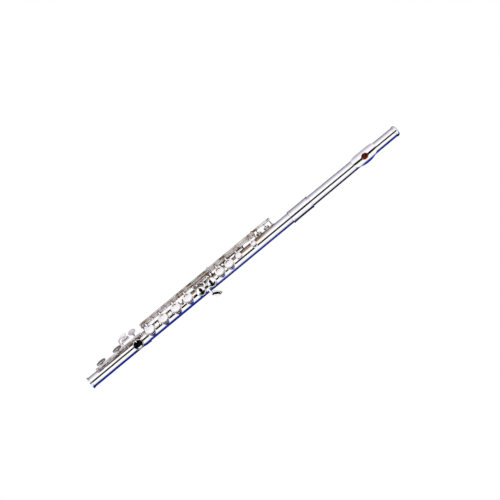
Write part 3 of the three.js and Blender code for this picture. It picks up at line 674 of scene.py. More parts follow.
def riser():
    """The chimney between the tube and the lip plate, undercut towards the tube."""
    sides = 96
    levels = [(0.0, "plate", -0.3), (-0.12, "plate", -1.4), (0.0, "tube", 0.2), (0.05, "tube", -0.35),
              (1.5, "tube", -0.15), (1.1, "tube", 0.25), (0.9, "plate", -2.1), (0.9, "plate", -0.6)]
    points = []
    for angle in round_angles(sides):
        for grow, kind, lift in levels:
            a = math.cos(angle) * (BLOW["long"] + grow)
            t = math.sin(angle) * (BLOW["wide"] + grow)
            base = lip_top(a, t) if kind == "plate" else math.sqrt(head_radius(a) ** 2 - t * t)
            points.append((a, t, base + lift))
    piece = Piece("riser_fine", "head_joint", turn=HEAD, replaced=["embouchure_riser"])
    piece.add(points, skin(sides, len(levels)), outward(0, 0)).make(RISER_SILVER, sharp=50)


def crown():
    s0, s1 = span("crown")
    profile = rounded([
        (s0, 0), (s0, 6.2, 1.2), (s0 + 0.7, 7.9, 1.2), (s0 + 2.0, 9.3, 1.2), (s0 + 3.7, 9.9, 0.8),
        (s0 + 4.6, 9.9, 0.3), (s0 + 5.0, 9.4, 0.2), (s0 + 5.5, 9.4, 0.2), (s0 + 6.0, 9.9, 0.3),
        (s1 - 2.2, 9.9, 0.5), (s1 - 1.6, 9.3, 0.2), (s1, 9.3, 0.2), (s1, 2.3), (s0 + 1.6, 2.3),
        (s0 + 1.6, 0),
    ], 5)
    piece = fine("crown", "crown", turn=HEAD)
    turned(piece, profile, 112).make(SILVER, sharp=50)


def stopper():
    """The reflecting disc, its cork, nut and threaded screw."""
    s0, s1 = span("stopper_disc")
    disc = fine("stopper_disc", "stopper", turn=HEAD)
    turned(disc, rounded([(s0, 0), (s0, 8.2, 0.3), (s1, 8.2, 0.3), (s1, 0)]), 72).make(SILVER)
    s0, s1 = span("stopper_cork")
    cork = fine("stopper_cork", "stopper", "cork", HEAD)
    pipe(cork, s0, s1, 8.2, 2.3, AXIS, 72, 0.8).make(CORK)
    s0, s1 = span("stopper_nut")
    nut = fine("stopper_nut", "stopper", turn=HEAD)
    pipe(nut, s0, s1, 6.5, 2.3, AXIS, 6, 0.4).make(SILVER, sharp=20)
    s0, s1 = span("stopper_screw")
    screw = fine("stopper_screw", "stopper", "steel", HEAD)
    pitch = 0.8
    threads = [(s0, 0.0)]
    s = s0
    while s < s1 - pitch:
        threads += [(s, 1.72), (s + pitch / 2, 2.0)]
        s += pitch
    turned(screw, threads + [(s1, 1.72), (s1, 0.0)], 32).make(STEEL, sharp=20)


# ---------------- ribs, posts and steels

TRILL_TOP, UPPER, MIDDLE, LOWER = 193.7, 229, 325.5, 473.4
G_POSTS = (331, 364.5)
THUMB_POSTS = (257, 305)
FOOT_POSTS = (484, 513, 577)
POST_CLEAR = 2.6


def rib(piece, s0, s1, angle0, angle1):
    """A strap soldered along the tube, with rounded long edges and ends."""
    steps, inside, top = 8, 9.85, 11.2
    angles = [angle0 + (angle1 - angle0) * k / steps for k in range(steps + 1)]
    section = [(angle, top - 0.25 * abs(2 * k / steps - 1) ** 6) for k, angle in enumerate(angles)]
    section += [(angle, inside) for angle in reversed(angles)]
    ends = [(s0, 0.35), (s0 + 0.3, 0.12), (s0 + 0.9, 0.0), (s1 - 0.9, 0.0), (s1 - 0.3, 0.12), (s1, 0.35)]
    points = []
    for s, inset in ends:
        for angle, r in section:
            lean = angle + (inset * 6 if angle == angle0 else -inset * 6 if angle == angle1 else 0)
            a = math.radians(lean)
            height = r - inset if r > inside else r
            points.append((-s, height * math.sin(a), height * math.cos(a)))
    ring = len(section)
    faces = skin(len(ends), ring)[:-ring]
    faces += [list(range(ring)), list(range(len(points) - ring, len(points)))]
    piece.add(points, faces)


def post(piece, s, line, base=10.9):
    """A turned post: a domed foot, a waisted stem and a ball that holds the rod's end."""
    angle = math.degrees(math.atan2(line[0], line[1]))
    reach = math.hypot(*line)
    profile = rounded([
        (0, base - 0.5), (2.5, base - 0.5), (2.5, base + 0.5, 0.3), (1.6, base + 1.0, 0.5),
        (1.05, base + 2.2, 0.6), (1.05, reach - 3.1, 0.6), (1.35, reach - 2.3, 0.3),
        (1.5, reach - 1.6), (0, reach - 1.2),
    ])
    upright(piece, profile, 24, s, angle)
    ball(piece, s, line, 2.3)


def screw_head(piece, s, line, direction):
    """A slotted screw or steel end showing in a post's ball."""
    ends = (s + direction * 1.7, s + direction * 2.42)
    r, slot, steps = 1.25, 0.16, 12
    for side in (-1, 1):
        half = [(max(r * math.sin(math.pi * k / steps), slot) * side, r * math.cos(math.pi * k / steps))
                for k in range(steps + 1)]
        points = [(-end, line[0] + y, line[1] + z) for end in ends for y, z in half]
        count = len(half)
        faces = [[k, k + 1, count + k + 1, count + k] for k in range(count - 1)]
        faces += [[count - 1, 0, count, 2 * count - 1], list(range(count)), list(range(count, 2 * count))]
        piece.add(points, faces)


def guide_ring(piece, s, line):
    profile = rounded([(s - 1.6, 2.15), (s - 1.6, 3.0, 0.3), (s, 3.15), (s + 1.6, 3.0, 0.3),
                       (s + 1.6, 2.15)])
    turned(piece, profile, 32, line, closed=True)


def ribs():
    upper = fine("upper_rib", "body_joint")
    rib(upper, TRILL_TOP - 4, MIDDLE + 2.6, 54, 68)
    post(upper, TRILL_TOP, TRILL)
    for s in (UPPER, MIDDLE):
        post(upper, s, MAIN)
        post(upper, s, TRILL)
        guide_ring(upper, s, TRILL)
    upper.make(SILVER_ROD)
    lower = fine("lower_rib", "body_joint")
    rib(lower, MIDDLE + 2.9, LOWER + 2.4, 54, 68)
    for s in G_POSTS:
        rib(lower, s - 2.4, s + 2.4, 38, 58)
        post(lower, s, G_LINE)
    post(lower, LOWER, MAIN)
    post(lower, LOWER, TRILL)
    lower.make(SILVER_ROD)
    thumb = fine("thumb_rib", "body_joint")
    rib(thumb, THUMB_POSTS[0] - 4, THUMB_POSTS[1] + 4, 78, 92)
    for s in THUMB_POSTS:
        post(thumb, s, THUMB)
    thumb.make(SILVER_ROD)
    foot = fine("foot_rib", "foot_joint", turn=FOOT)
    rib(foot, FOOT_POSTS[0] + 8, FOOT_POSTS[2] + 3, -3.5, 3.5)
    for s, base in zip(FOOT_POSTS, (11.3, 10.9, 10.9)):
        post(foot, s, FOOT_LINE, base)
    foot.make(SILVER_ROD)


def steels():
    rows = (
        ("left_steel", MAIN, UPPER, -1), ("right_steel", MAIN, LOWER, 1),
        ("thumb_steel", THUMB, THUMB_POSTS[1], 1),
        ("g_pivot_upper", G_LINE, G_POSTS[0], -1), ("g_pivot_lower", G_LINE, G_POSTS[1], 1),
        ("trill_pivot_upper", TRILL, TRILL_TOP, -1), ("trill_pivot_lower", TRILL, LOWER, 1),
        ("foot_steel", FOOT_LINE, FOOT_POSTS[0], -1), ("foot_pivot", FOOT_LINE, FOOT_POSTS[2], 1),
    )
    for node, line, end_post, direction in rows:
        body, turn = ("foot_joint", FOOT) if line is FOOT_LINE else ("body_joint", BODY)
        piece = fine(node, body, "steel", turn)
        s0, s1 = span(node)
        rod(piece, s0 + 0.4, s1 - 0.4, 1.0, line)
        screw_head(piece, end_post, line, direction)
        piece.make(STEEL, sharp=30)


def springs():
    """Blued needle springs. Each leaves a post and lies along the hinge line to its key's hook."""
    sets = (
        ("body_needle_springs", "body_joint", BODY, (
            (UPPER, 1, MAIN), (MIDDLE, -1, MAIN), (MIDDLE, 1, MAIN), (LOWER, -1, MAIN),
            (TRILL_TOP, 1, TRILL), (G_POSTS[0], 1, G_LINE), (THUMB_POSTS[0], 1, THUMB))),
        ("foot_needle_springs", "foot_joint", FOOT, (
            (FOOT_POSTS[0], 1, FOOT_LINE), (FOOT_POSTS[1], 1, FOOT_LINE), (FOOT_POSTS[2], -1, FOOT_LINE))),
    )
    for name, body, turn, needles in sets:
        piece = Piece(name, body, "steel", turn)
        for s, way, line in needles:
            y, z = inward(line, 2.7)
            arm(piece, [(s, y, z), (s + way * 8, y - 0.1, z + 0.1), (s + way * 17, y - 0.3, z + 0.2)],
                [0.62, 0.5, 0.3], [0.62, 0.5, 0.3], steps=5, sides=8, flat=2)
        piece.make(BLUED)


# ---------------- key pieces


def cup(piece, hole, line=None, width=3.2):
    """A plateau cup: a spun dish with a raised rim, a sunk ring and a gently crowned middle. It
    hangs on an arm from the hinge line, if one is given."""
    s, size, angle = hole
    r = size["cup"]
    step = 0.55 if size is SMALL else 0.75
    profile = rounded([
        (r - 0.7, CUP_H0), (r - 0.1, CUP_H0, 0.2), (r, CUP_H0 + 0.7, 0.3), (r, CUP_H1 - 0.75, 0.3),
        (r - 0.35, CUP_H1 - 0.35, 0.35), (r - step, CUP_H1 - 0.17, 0.3),
        (r - step - 0.55, CUP_H1 - 0.3, 0.3), (r - step - 1.4, CUP_H1 - 0.28, 0.4),
        (0.45 * r, CUP_H1 + 0.12, 1.5), (0, CUP_H1 + 0.2),
    ])
    profile += [(0, PAD_H1 + 0.3), (r - 0.7, PAD_H1 + 0.3), (r - 0.7, CUP_H0)]
    upright(piece, profile, 72, s, angle)
    if line:
        cup_arm(piece, line, hole, width)


def swung(point, angle):
    """A point (y, z) turned about the tube's axis, from +Z towards -Y."""
    a = math.radians(angle)
    return point[0] * math.cos(a) - point[1] * math.sin(a), point[0] * math.sin(a) + point[1] * math.cos(a)


def cup_arm(piece, line, hole, width):
    """An arched arm from the hinge tube that narrows to a point over the edge of the cup."""
    s, size, angle = hole
    t, h = swung(line, angle)
    edge = math.copysign(size["cup"], t)
    route = [(t, h), (0.97 * t, h + 0.45 * (CUP_H1 - h)), (0.6 * t + 0.4 * edge, CUP_H1 + 0.1),
             (edge * 0.9, CUP_H1 + 0.4), (edge * 0.72, CUP_H1 + 0.25), (edge * 0.5, CUP_H1 + 0.05)]
    points = [(s, *swung(point, -angle)) for point in route]
    arm(piece, points, [width, width * 0.8, width * 0.85, width * 0.9, width * 0.55, 0.5],
        [1.9, 1.6, 1.5, 1.3, 0.8, 0.3], steps=6)


def collar(piece, s, line):
    """A raised ring on a hinge tube, where an arm is soldered or a tube ends."""
    s0, s1, r = s - 0.45, s + 0.45, 2.35
    profile = rounded([(s0, 1.9), (s0, r, 0.25), (s1, r, 0.25), (s1, 1.9)], 3)
    turned(piece, profile, 28, line, closed=True)


def inward(line, drop):
    """The point that lies a drop nearer to the axis than a line."""
    share = (math.hypot(*line) - drop) / math.hypot(*line)
    return line[0] * share, line[1] * share


def hook(piece, s, line):
    """The small spring catch under a hinge tube."""
    arm(piece, [(s, *inward(line, 1.6)), (s, *inward(line, 2.6)), (s + 0.6, *inward(line, 3.2))],
        [1.3, 1.0, 0.7], [1.1, 0.9, 0.6], steps=3, sides=10)


def button(piece, s, r):
    """A round touch beside the cups."""
    top = CUP_H1
    profile = rounded([(0, top - 1.3), (r - 0.9, top - 1.3, 0.3), (r, top - 0.5, 0.4),
                       (r - 0.3, top + 0.05, 0.4), (r - 1.3, top, 0.4), (0, top - 0.25)])
    upright(piece, profile, 48, s, 0)


def oval(piece, s, t, half_length, half_width, h0, h1, angle):
    """An oval touch plate, slightly dished, with a soft edge."""
    dish = 0.25
    edge = [(0, h0)]
    for k in range(9):
        a = -math.pi / 2 + math.pi * k / 8
        edge.append((0.93 + 0.07 * math.cos(a), (h0 + h1) / 2 + (h1 - h0) / 2 * math.sin(a)))
    edge += [(0.7, h1 - dish * 0.55), (0.4, h1 - dish * 0.9), (0, h1 - dish)]
    points, faces = lathe(edge, 56, squash=(half_length, half_width))
    points = [(x, y + t, z) for x, y, z in points]
    piece.add(points, faces, outward(s, angle))


def leaf(piece, s, t, half_length, half_width, h0, h1, angle, lean):
    """A leaf-shaped touch: a dished plate with a raised, rounded border and a pointed free end."""
    levels = [(0.0, 0.0), (0.8, 0.0), (0.94, 0.2), (1.0, 0.55), (0.97, 0.85), (0.9, 1.0), (0.8, 0.92),
              (0.66, 0.68), (0.4, 0.5), (0.0, 0.45)]
    sides = 72
    turn = math.radians(lean)
    points = []
    for a in round_angles(sides):
        for share, rise in levels:
            x = share * half_length * math.cos(a)
            width = half_width * (1 - 0.32 * max(math.cos(a), 0) ** 2)
            y = share * (width * math.sin(a) + 0.9 * math.cos(a) ** 2 - 0.45)
            points.append((x * math.cos(turn) - y * math.sin(turn),
                           t + x * math.sin(turn) + y * math.cos(turn), h0 + rise * (h1 - h0)))
    piece.add(points, skin(sides, len(levels), closed=False), outward(s, angle))


def pad(note, holder, hole):
    """The felt pad of a key's cup: full edges, a domed back and the ring its seat has pressed in."""
    s, size, angle = hole
    r, hole_r = size["cup"] - 1.0, size["hole"] + 0.25
    profile = rounded([
        (0, PAD_H0 + 0.02), (hole_r - 0.9, PAD_H0 + 0.03, 0.3), (hole_r - 0.3, PAD_H0 + 0.22, 0.3),
        (hole_r + 0.3, PAD_H0 + 0.22, 0.2), (hole_r + 0.5, PAD_H0 + 0.08, 0.2),
        (r - 0.1, PAD_H0 + 0.4, 0.5), (r, PAD_H1 - 0.6, 0.5), (r - 0.5, PAD_H1, 0.4), (0, PAD_H1 + 0.02),
    ])
    piece = fine(f"{note}_pad", holder.body, "pad", holder.turn)
    upright(piece, profile, 64, s, angle).make(SKIN, sharp=70)


def finish_key(note, piece, hole):
    piece.make(SILVER_CUP)
    pad(note, piece, hole)


def opening(joint, closed_at):
    """How far a key stands from closed at rest, in degrees, from its joint's range."""
    return -JOINTS[joint]["range_deg"][closed_at]


def key(name, line, open_by=0.0, base=BODY):
    return fine(name, name, turn=base @ turn_about(line, open_by))


def tube(piece, s0, s1, line, *rings):
    """A key's hinge tube with its rings, more tarnished than the rest of the key."""
    first = piece.tarnished.start or len(piece.faces)
    pipe(piece, s0, s1, HINGE_R, 1.25, line, 32)
    for s in (s0 + 0.5, s1 - 0.5, *rings):
        collar(piece, s, line)
    piece.tarnished = range(first, len(piece.faces))


# ---------------- keys on the body

LEVER = (392.4, 399.2)
MAIN_TUBES = {
    "csharp": (UPPER + POST_CLEAR, 283.2),
    "bflat": (283.5, 301.2),
    "a": (301.5, MIDDLE - POST_CLEAR),
    "fsharp": (MIDDLE + POST_CLEAR, LEVER[0] - 0.3),
    "f": (LEVER[1] + 0.3, 420.2),
    "e": (420.5, 448.3),
    "d": (448.6, LOWER - POST_CLEAR),
}
FIRST_TOUCH = 271
GSHARP_TUBE = (343.5, 349.1)
D_TRILL_TUBE = (214.8, 426.8)


def main_keys():
    for note, (s0, s1) in MAIN_TUBES.items():
        hole = BODY_HOLES[note]
        s, size = hole[:2]
        piece = key(f"{note}_key", MAIN, opening(f"{note}_hinge", 1))
        tube(piece, s0, s1, MAIN, s - 2.2, s + 2.2)
        cup(piece, hole, MAIN, 2.6 if size is SMALL else 3.2)
        hook(piece, s0 + 3.5, MAIN)
        if note == "csharp":
            button(piece, FIRST_TOUCH, 5.6)
            cup_arm(piece, MAIN, (FIRST_TOUCH, {"cup": 5.6}, 0), 2.8)
        finish_key(note, piece, hole)


def g_key():
    piece = key("g_key", G_LINE, opening("g_hinge", 1))
    tube(piece, G_POSTS[0] + POST_CLEAR, GSHARP_TUBE[0] - 0.3, G_LINE)
    tube(piece, GSHARP_TUBE[1] + 0.3, G_POSTS[1] - POST_CLEAR, G_LINE)
    rod(piece, GSHARP_TUBE[0] - 1, GSHARP_TUBE[1] + 1, 1.0, G_LINE)
    for note in ("upper_g", "lower_g"):
        cup(piece, BODY_HOLES[note], G_LINE)
        pad(note, piece, BODY_HOLES[note])
    piece.make(SILVER_CUP)


def gsharp_key():
    hole = BODY_HOLES["gsharp"]
    s, mid = hole[0], sum(GSHARP_TUBE) / 2
    piece = key("gsharp_key", G_LINE)
    tube(piece, *GSHARP_TUBE, G_LINE)
    arm(piece, [(mid, *G_LINE), (mid, 8.6, 15.6), (mid, 0.5, 18.2), (mid, -7.5, 16.4),
                (mid, -14, 11.4), (mid, -18.2, 7.8)], [3.2, 3.0, 2.8, 2.8, 3.0, 3.0],
        [2.0, 1.6, 1.6, 1.6, 1.6, 1.4])
    leaf(piece, mid - 7, -18.2, 9.6, 5, 11.2, 12.9, -20, -36)
    arm(piece, [(mid, *G_LINE), (mid + 1, 11.2, 7.6), (mid + 4, 13.6, 4), (s - 3, 17.4, 0.4),
                (s - 1, 18, -3.2), (s, 13.4, -9.6)], [2.6, 2.4, 2.2, 2.2, 2.4, 1.4],
        [1.7, 1.6, 1.5, 1.5, 1.4, 0.8])
    cup(piece, hole)
    finish_key("gsharp", piece, hole)


def thumb_keys():
    hole = BODY_HOLES["thumb"]
    s, open_by, split = hole[0], opening("thumb_b_hinge", 0), 289.6
    first = key("thumb_b_key", THUMB, open_by)
    tube(first, THUMB_POSTS[0] + POST_CLEAR, split, THUMB, s - 2.2, s + 2.2)
    cup(first, hole, THUMB)
    second = key("thumb_bflat_lever", THUMB, open_by)
    tube(second, split + 0.3, THUMB_POSTS[1] - POST_CLEAR, THUMB)
    for piece, mid in ((first, split - 2.8), (second, split + 9)):
        arm(piece, [(mid, *THUMB), (mid, 16.2, -4.6), (mid, 13.0, -9.8), (mid, 8.2, -11.9)],
            [3.0, 2.6, 3.0, 3.4], [1.9, 1.5, 1.4, 1.0])
        oval(piece, mid, 0, 5.3, 7, 14.2, 15.4, 152)
        piece.make(SILVER_CUP)
    pad("thumb", first, hole)


def side_lever():
    s = sum(LEVER) / 2
    piece = key("side_bflat_lever", MAIN)
    tube(piece, *LEVER, MAIN)
    arm(piece, [(s, *MAIN), (s, 14.6, 12.4), (s, 10.5, 15.8), (s, 6, 16.4)], [3.0, 2.6, 2.6, 3.0],
        [1.9, 1.6, 1.5, 1.2])
    oval(piece, s, 5.5, 2.9, 5.5, 16, 17.4, 0)
    piece.make(SILVER_CUP)


def gap_between(upper, lower):
    a, b = BODY_HOLES[upper], BODY_HOLES[lower]
    return (a[0] + a[1]["cup"] + b[0] - b[1]["cup"]) / 2


def finish_trill(piece, note, s, r):
    """Adds a trill key's cup and its touch, and makes it."""
    hole = BODY_HOLES[note]
    cup(piece, hole, TRILL, 2.6)
    arm(piece, [(s, *TRILL), (s, 18.6, 13), (s, 14, 15.6), (s, 7, 16.6), (s, 2.4, 15.6)],
        [2.8, 2.4, 2.3, 2.4, 2.2], [1.9, 1.6, 1.5, 1.4, 0.8])
    button(piece, s, r)
    finish_key(note, piece, hole)


def trill_keys():
    piece = key("d_trill_key", TRILL)
    tube(piece, *D_TRILL_TUBE, TRILL, 260, 290, 360, 395)
    finish_trill(piece, "d_trill", gap_between("f", "e"), 4)
    piece = key("dsharp_trill_key", TRILL)
    tube(piece, TRILL_TOP + POST_CLEAR, D_TRILL_TUBE[0] - 0.3, TRILL)
    tube(piece, D_TRILL_TUBE[1] + 0.3, LOWER - POST_CLEAR, TRILL)
    rod(piece, D_TRILL_TUBE[0] - 1, D_TRILL_TUBE[1] + 1, 1.0, TRILL)
    finish_trill(piece, "dsharp_trill", gap_between("e", "d"), 4.2)


# ---------------- keys on the foot

C_COLLAR = (FOOT_POSTS[1] + POST_CLEAR, 519)
CSHARP_TUBE = (519.3, 548.3)
ROLLER = (503.6, 513.8, 12.6, 14.6, 2.3)  # first and last station, y, z and radius


def eflat_key():
    hole = FOOT_HOLES["eflat"]
    piece = key("eflat_key", FOOT_LINE, base=FOOT)
    tube(piece, FOOT_POSTS[0] + POST_CLEAR, FOOT_POSTS[1] - POST_CLEAR, FOOT_LINE, hole[0])
    cup(piece, hole, FOOT_LINE)
    arm(piece, [(493, *FOOT_LINE), (493, 4, 17), (493, 9, 16), (493, 14, 14.9)], [3.2, 3.0, 3.4, 5.0],
        [1.8, 1.5, 1.4, 1.0])
    oval(piece, 493, 17, 7, 5.6, 14.2, 15.6, 0)
    finish_key("eflat", piece, hole)


def low_csharp_key():
    hole = FOOT_HOLES["low_csharp"]
    piece = key("low_csharp_key", FOOT_LINE, opening("low_csharp_hinge", 0), FOOT)
    tube(piece, *CSHARP_TUBE, FOOT_LINE, hole[0])
    cup(piece, hole, FOOT_LINE)
    arm(piece, [(520.6, 0.5, 17), (520.4, 8, 16.6), (519, 16.5, 15.2), (511, 19.6, 14.8)],
        [2.2, 2.2, 2.3, 2.4], [1.8, 1.7, 1.6, 1.0], across=(1, 0.4, 0))
    oval(piece, 508.6, 19.6, 6.2, 3.4, 14.2, 15.6, 0)
    finish_key("low_csharp", piece, hole)


def low_c_key():
    hole = FOOT_HOLES["low_c"]
    piece = key("low_c_key", FOOT_LINE, opening("low_c_hinge", 0), FOOT)
    tube(piece, *C_COLLAR, FOOT_LINE)
    tube(piece, CSHARP_TUBE[1] + 0.3, FOOT_POSTS[2] - POST_CLEAR, FOOT_LINE, hole[0])
    rod(piece, C_COLLAR[1] - 1, CSHARP_TUBE[1] + 1, 1.0, FOOT_LINE)
    cup(piece, hole, FOOT_LINE)
    elbow = C_COLLAR[0] + 1.7
    arm(piece, [(elbow, *FOOT_LINE), (elbow, 4, 16.6), (elbow, 8.6, 15.6)], [2.8, 2.6, 2.2],
        [1.8, 1.6, 1.5])
    arm(piece, [(elbow + 0.8, 8.5, 15.6), (509, 8.3, 15.6), (501.4, 8.5, 15.6)], [1.7, 1.7, 1.7],
        [1.6, 1.6, 1.6], across=(0, 1, 0))
    s0, s1, y, z, r = ROLLER
    for end in (s0 - 1.6, s1 + 1.6):
        arm(piece, [(end, 8.5, 15.6), (end, 10.6, 15.2), (end, y + 0.8, z)], [1.4, 1.4, 1.3],
            [1.9, 2.2, 2.4], steps=4)
    finish_key("low_c", piece, hole)
    wheel = fine("low_c_roller", "low_c_roller", turn=piece.turn)
    profile = rounded([(s0, 1.1), (s0, r - 0.5, 0.4), (s0 + 1.0, r, 0.8), (s1 - 1.0, r, 0.8),
                       (s1, r - 0.5, 0.4), (s1, 1.1)])
    turned(wheel, profile, 40, (y, z), closed=True).make(SILVER_ROD)
    pin = fine("roller_pin", "low_c_key", "steel", piece.turn)
    rod(pin, s0 - 2.2, s1 + 2.2, 0.8, (y, z)).make(STEEL)


# ---------------- camera, floor and lights

PHOTO_CENTRE_STATION = 252.5  # the station in the middle of the picture
PHOTO_WIDTH = 0.846  # metres of the flute's length that fill the picture's width
CAMERA_DISTANCE = 5.0
CAMERA_TILT = 21  # degrees from straight above, towards the far side
CAMERA_ROLL = 39.62  # the flute rises to the right by this much
CAMERA_UP, CAMERA_RIGHT = 0.003, 0.0006  # metres by which the picture's middle misses the axis
FLOOR_HEIGHT = -0.0008
GROUND_HEIGHT = -0.0004


def camera():
    tilt, roll = math.radians(CAMERA_TILT), math.radians(CAMERA_ROLL)
    forward = Vector((0, math.sin(tilt), -math.cos(tilt)))
    level_up = Vector((0, math.cos(tilt), math.sin(tilt)))
    level_right = Vector((1, 0, 0))
    right = level_right * math.cos(roll) - level_up * math.sin(roll)
    up = level_right * math.sin(roll) + level_up * math.cos(roll)
    data = bpy.data.cameras.new("camera")
    data.sensor_width = 36
    data.lens = data.sensor_width * CAMERA_DISTANCE / PHOTO_WIDTH
    data.clip_end = 100
    eye = bpy.data.objects.new("camera", data)
    bpy.context.scene.collection.objects.link(eye)
    target = ORIGIN + Vector((-PHOTO_CENTRE_STATION * MM, 0, 0)) + up * CAMERA_UP + right * CAMERA_RIGHT
    turn = Matrix((right, up, -forward)).transposed().to_4x4()
    eye.matrix_world = Matrix.Translation(target - forward * CAMERA_DISTANCE) @ turn
    bpy.context.scene.camera = eye


def plane(name, half_x, half_y, matrix, material):
    mesh = bpy.data.meshes.new(name)
    corners = [(x * half_x, y * half_y, 0) for x, y in ((-1, -1), (1, -1), (1, 1), (-1, 1))]
    mesh.from_pydata(corners, [], [(0, 1, 2, 3)])
    mesh.materials.append(material)
    card = bpy.data.objects.new(name, mesh)
    card.matrix_world = matrix
    bpy.context.scene.collection.objects.link(card)
    return card


def glow(tree, colour):
    light = tree.add("Emission", "Emission", {"Color": colour})
    tree.set(tree.nodes["Material Output"], {"Surface": light})


def stage_material(name):
    material, tree, shader = new_material(name)
    tree.nodes.remove(shader)
    return material, tree


def floor():
    """A white light table, so that the flute lies on plain white without a shadow."""
    material, tree = stage_material("floor_white")
    glow(tree, (1, 1, 1, 1))
    plane("floor", 20, 20, Matrix.Translation((0, 0, FLOOR_HEIGHT)), material)


def glowing(name, stops, overlays=()):
    """A stage material that glows in colours across its card, in metres from the card's middle
    line. Each overlay has other colours, and a mask that fades them in and out along the card."""
    material, tree = stage_material(name)
    split = tree.node("SeparateXYZ", {"Vector": tree.place()})

    def colours(axis, stops):
        first, last = stops[0][0], stops[-1][0]
        share = tree.add("MapRange", "Result", {"From Min": first, "From Max": last,
                                                "Value": split.outputs[axis]})
        return tree.ramp(share, [((place - first) / (last - first), value) for place, value in stops])

    shown = colours("Y", stops)
    for other, where in overlays:
        shown = tree.mix(colours("X", where), shown, colours("Y", other))
    glow(tree, shown)
    return material


def between(middle, s0, s1, s2, s3):
    """A mask along a card: it fades in from s0 to s1 and out from s2 to s3, around its middle."""
    return [((middle - s) * MM, grey(value)) for s, value in ((s3, 0), (s2, 1), (s1, 1), (s0, 0))]


def reflector(name, s0, s1, half_width, place, turn, material):
    """A card seen only in the metal, beside the stations s0 to s1."""
    centre = Matrix.Translation(Vector((ORIGIN.x - (s0 + s1) / 2 * MM, place[0], place[1])))
    card = plane(name, (s1 - s0) / 2 * MM, half_width, centre @ turn, material)
    card.visible_camera = False
    card.visible_diffuse = False
    card.visible_shadow = False


BLUE_GROUND = [
    (-0.5, (0.62, 0.7, 1.05)), (-0.3, (0.34, 0.44, 0.95)), (-0.2, (0.15, 0.22, 0.72)),
    (-0.12, (0.05, 0.085, 0.46)), (-0.06, (0.018, 0.03, 0.28)), (-0.03, (0.008, 0.012, 0.14)),
    (-0.015, (0.006, 0.008, 0.07)),
]
PALE_GROUND = [
    (-0.5, (0.9, 0.92, 1.12)), (-0.2, (0.6, 0.6, 0.98)), (-0.1, (0.25, 0.3, 0.85)),
    (-0.055, (0.03, 0.045, 0.3)), (-0.015, (0.006, 0.006, 0.03)),
]
DARK_GROUND = [
    (-0.5, (1.0, 1.0, 1.1)), (-0.085, (0.8, 0.78, 0.98)), (-0.065, (0.02, 0.02, 0.05)),
    (-0.012, (0.002, 0.002, 0.004)),
]
GREY_GROUND = [(0.02, (0.1, 0.09, 0.12)), (0.08, (0.2, 0.18, 0.23)), (0.25, (0.38, 0.35, 0.43)),
               (0.5, (0.48, 0.44, 0.54))]
SIDE = [(-0.23, (0.34, 0.31, 0.38)), (-0.085, (0.6, 0.56, 0.68)), (0.13, (0.85, 0.82, 0.94)),
        (0.25, (0.93, 0.91, 0.98))]
WARM_SIDE = [
    (-0.25, (0.1, 0.05, 0.03)), (-0.13, (0.03, 0.012, 0.008)), (-0.07, (0.3, 0.13, 0.03)),
    (0.0, (0.8, 0.46, 0.16)), (0.05, (0.6, 0.3, 0.12)), (0.08, (0.03, 0.012, 0.01)),
    (0.13, (0.03, 0.012, 0.01)), (0.16, (0.9, 0.75, 0.66)), (0.25, (1.1, 1.06, 1.06)),
]


def reflectors():
    """The coloured surroundings that the metal shows: blue low on the far side of the flute,
    lavender grey on the player's side, and brass-brown beside the keys."""
    flat = Matrix.Identity(4)
    middle = 320
    ground = glowing("ground", BLUE_GROUND + GREY_GROUND,
                     [(DARK_GROUND + GREY_GROUND, between(middle, 4, 26, 150, 185)),
                      (PALE_GROUND + GREY_GROUND, between(middle, 150, 185, 315, 350))])
    reflector("ground", middle - 440, middle + 440, 0.5, (0, GROUND_HEIGHT), flat, ground)
    middle = 348
    side = glowing("side", SIDE, [(WARM_SIDE, between(middle, 185, 225, 465, 510))])
    upright_turn = Matrix.Rotation(math.radians(90), 4, "X")
    reflector("side", middle - 170, middle + 170, 0.25, (0.45, 0.25), upright_turn, side)
    black = glowing("flag", [(-0.1, (0.002, 0.002, 0.002)), (0.1, (0.002, 0.002, 0.002))])
    reflector("flag", 330, 380, 0.055, (0.004, 0.3), flat, black)


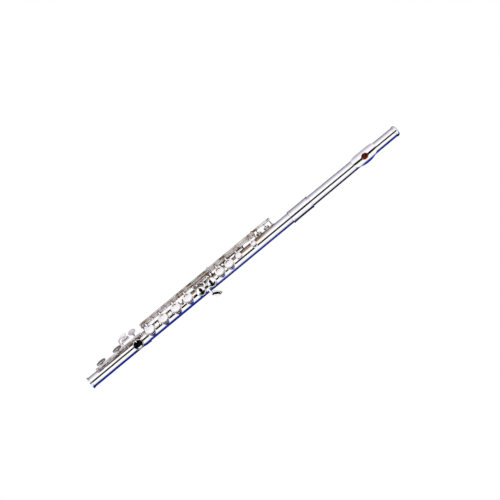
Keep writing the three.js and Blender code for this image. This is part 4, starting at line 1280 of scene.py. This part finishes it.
def area_light(name, place, size, power):
    """A soft light that looks at the flute's middle."""
    data = bpy.data.lights.new(name, "AREA")
    data.shape = "RECTANGLE"
    data.size, data.size_y = size
    data.energy = power
    lamp = bpy.data.objects.new(name, data)
    lamp.location = place
    lamp.rotation_euler = (-Vector(place)).to_track_quat("-Z", "Y").to_euler()
    lamp.visible_glossy = False
    bpy.context.scene.collection.objects.link(lamp)


# The sky's colours by the angle round the flute from straight up, positive towards the player.
# The dark strip lies opposite the camera and draws the fine line along the tube.
SKY = [
    (-95, (0.62, 0.7, 1.05)), (-84, (0.92, 0.96, 1.12)), (-74, grey(1.1)),
    (-38, grey(1.1)), (-37, (0.001, 0.001, 0.002)), (-6, (0.001, 0.001, 0.002)),
    (-5, grey(1.1)), (28, grey(1.1)), (50, (0.85, 0.82, 0.94)), (72, (0.6, 0.56, 0.68)),
    (92, (0.32, 0.29, 0.36)),
]


def world():
    room = bpy.data.worlds.new("studio")
    bpy.context.scene.world = room
    tree = Nodes(room)
    split = tree.node("SeparateXYZ", {"Vector": tree.place("Generated")})
    angle = tree.add("Math", "Value", {0: split.outputs["Y"], 1: split.outputs["Z"]}, operation="ARCTAN2")
    share = tree.add("MapRange", "Result", {"From Min": -math.pi, "From Max": math.pi, "Value": angle})
    sky = tree.ramp(share, [((degrees + 180) / 360, colour) for degrees, colour in SKY])
    tree.set(tree.nodes["Background"], {"Color": sky})
    metal_sees = tree.nodes["Background"].outputs[0]
    eye_sees = tree.add("Background", 0, {"Strength": 1.0, "Color": (1, 1, 1, 1)})
    glossy = tree.add("LightPath", "Is Glossy Ray", {})
    seen = tree.add("MixShader", "Shader", {"Fac": glossy, 1: eye_sees, 2: metal_sees})
    tree.set(tree.nodes["World Output"], {"Surface": seen})


camera()
floor()
reflectors()
world()
area_light("key_softbox", (0.6, -1.2, 2.2), (2.4, 1.2), 14)
area_light("fill_softbox", (-0.6, 1.6, 1.8), (2.4, 1.2), 8)
bpy.context.scene.view_settings.view_transform = "Standard"

# ---------------- the flute

PARTS = (
    head_tube, lip_plate, riser, crown, stopper, body_tube, barrel, ribs, steels, springs,
    main_keys, g_key, gsharp_key, thumb_keys, side_lever, trill_keys, foot_tube, eflat_key,
    low_csharp_key, low_c_key,
)
for make_part in PARTS:
    make_part()
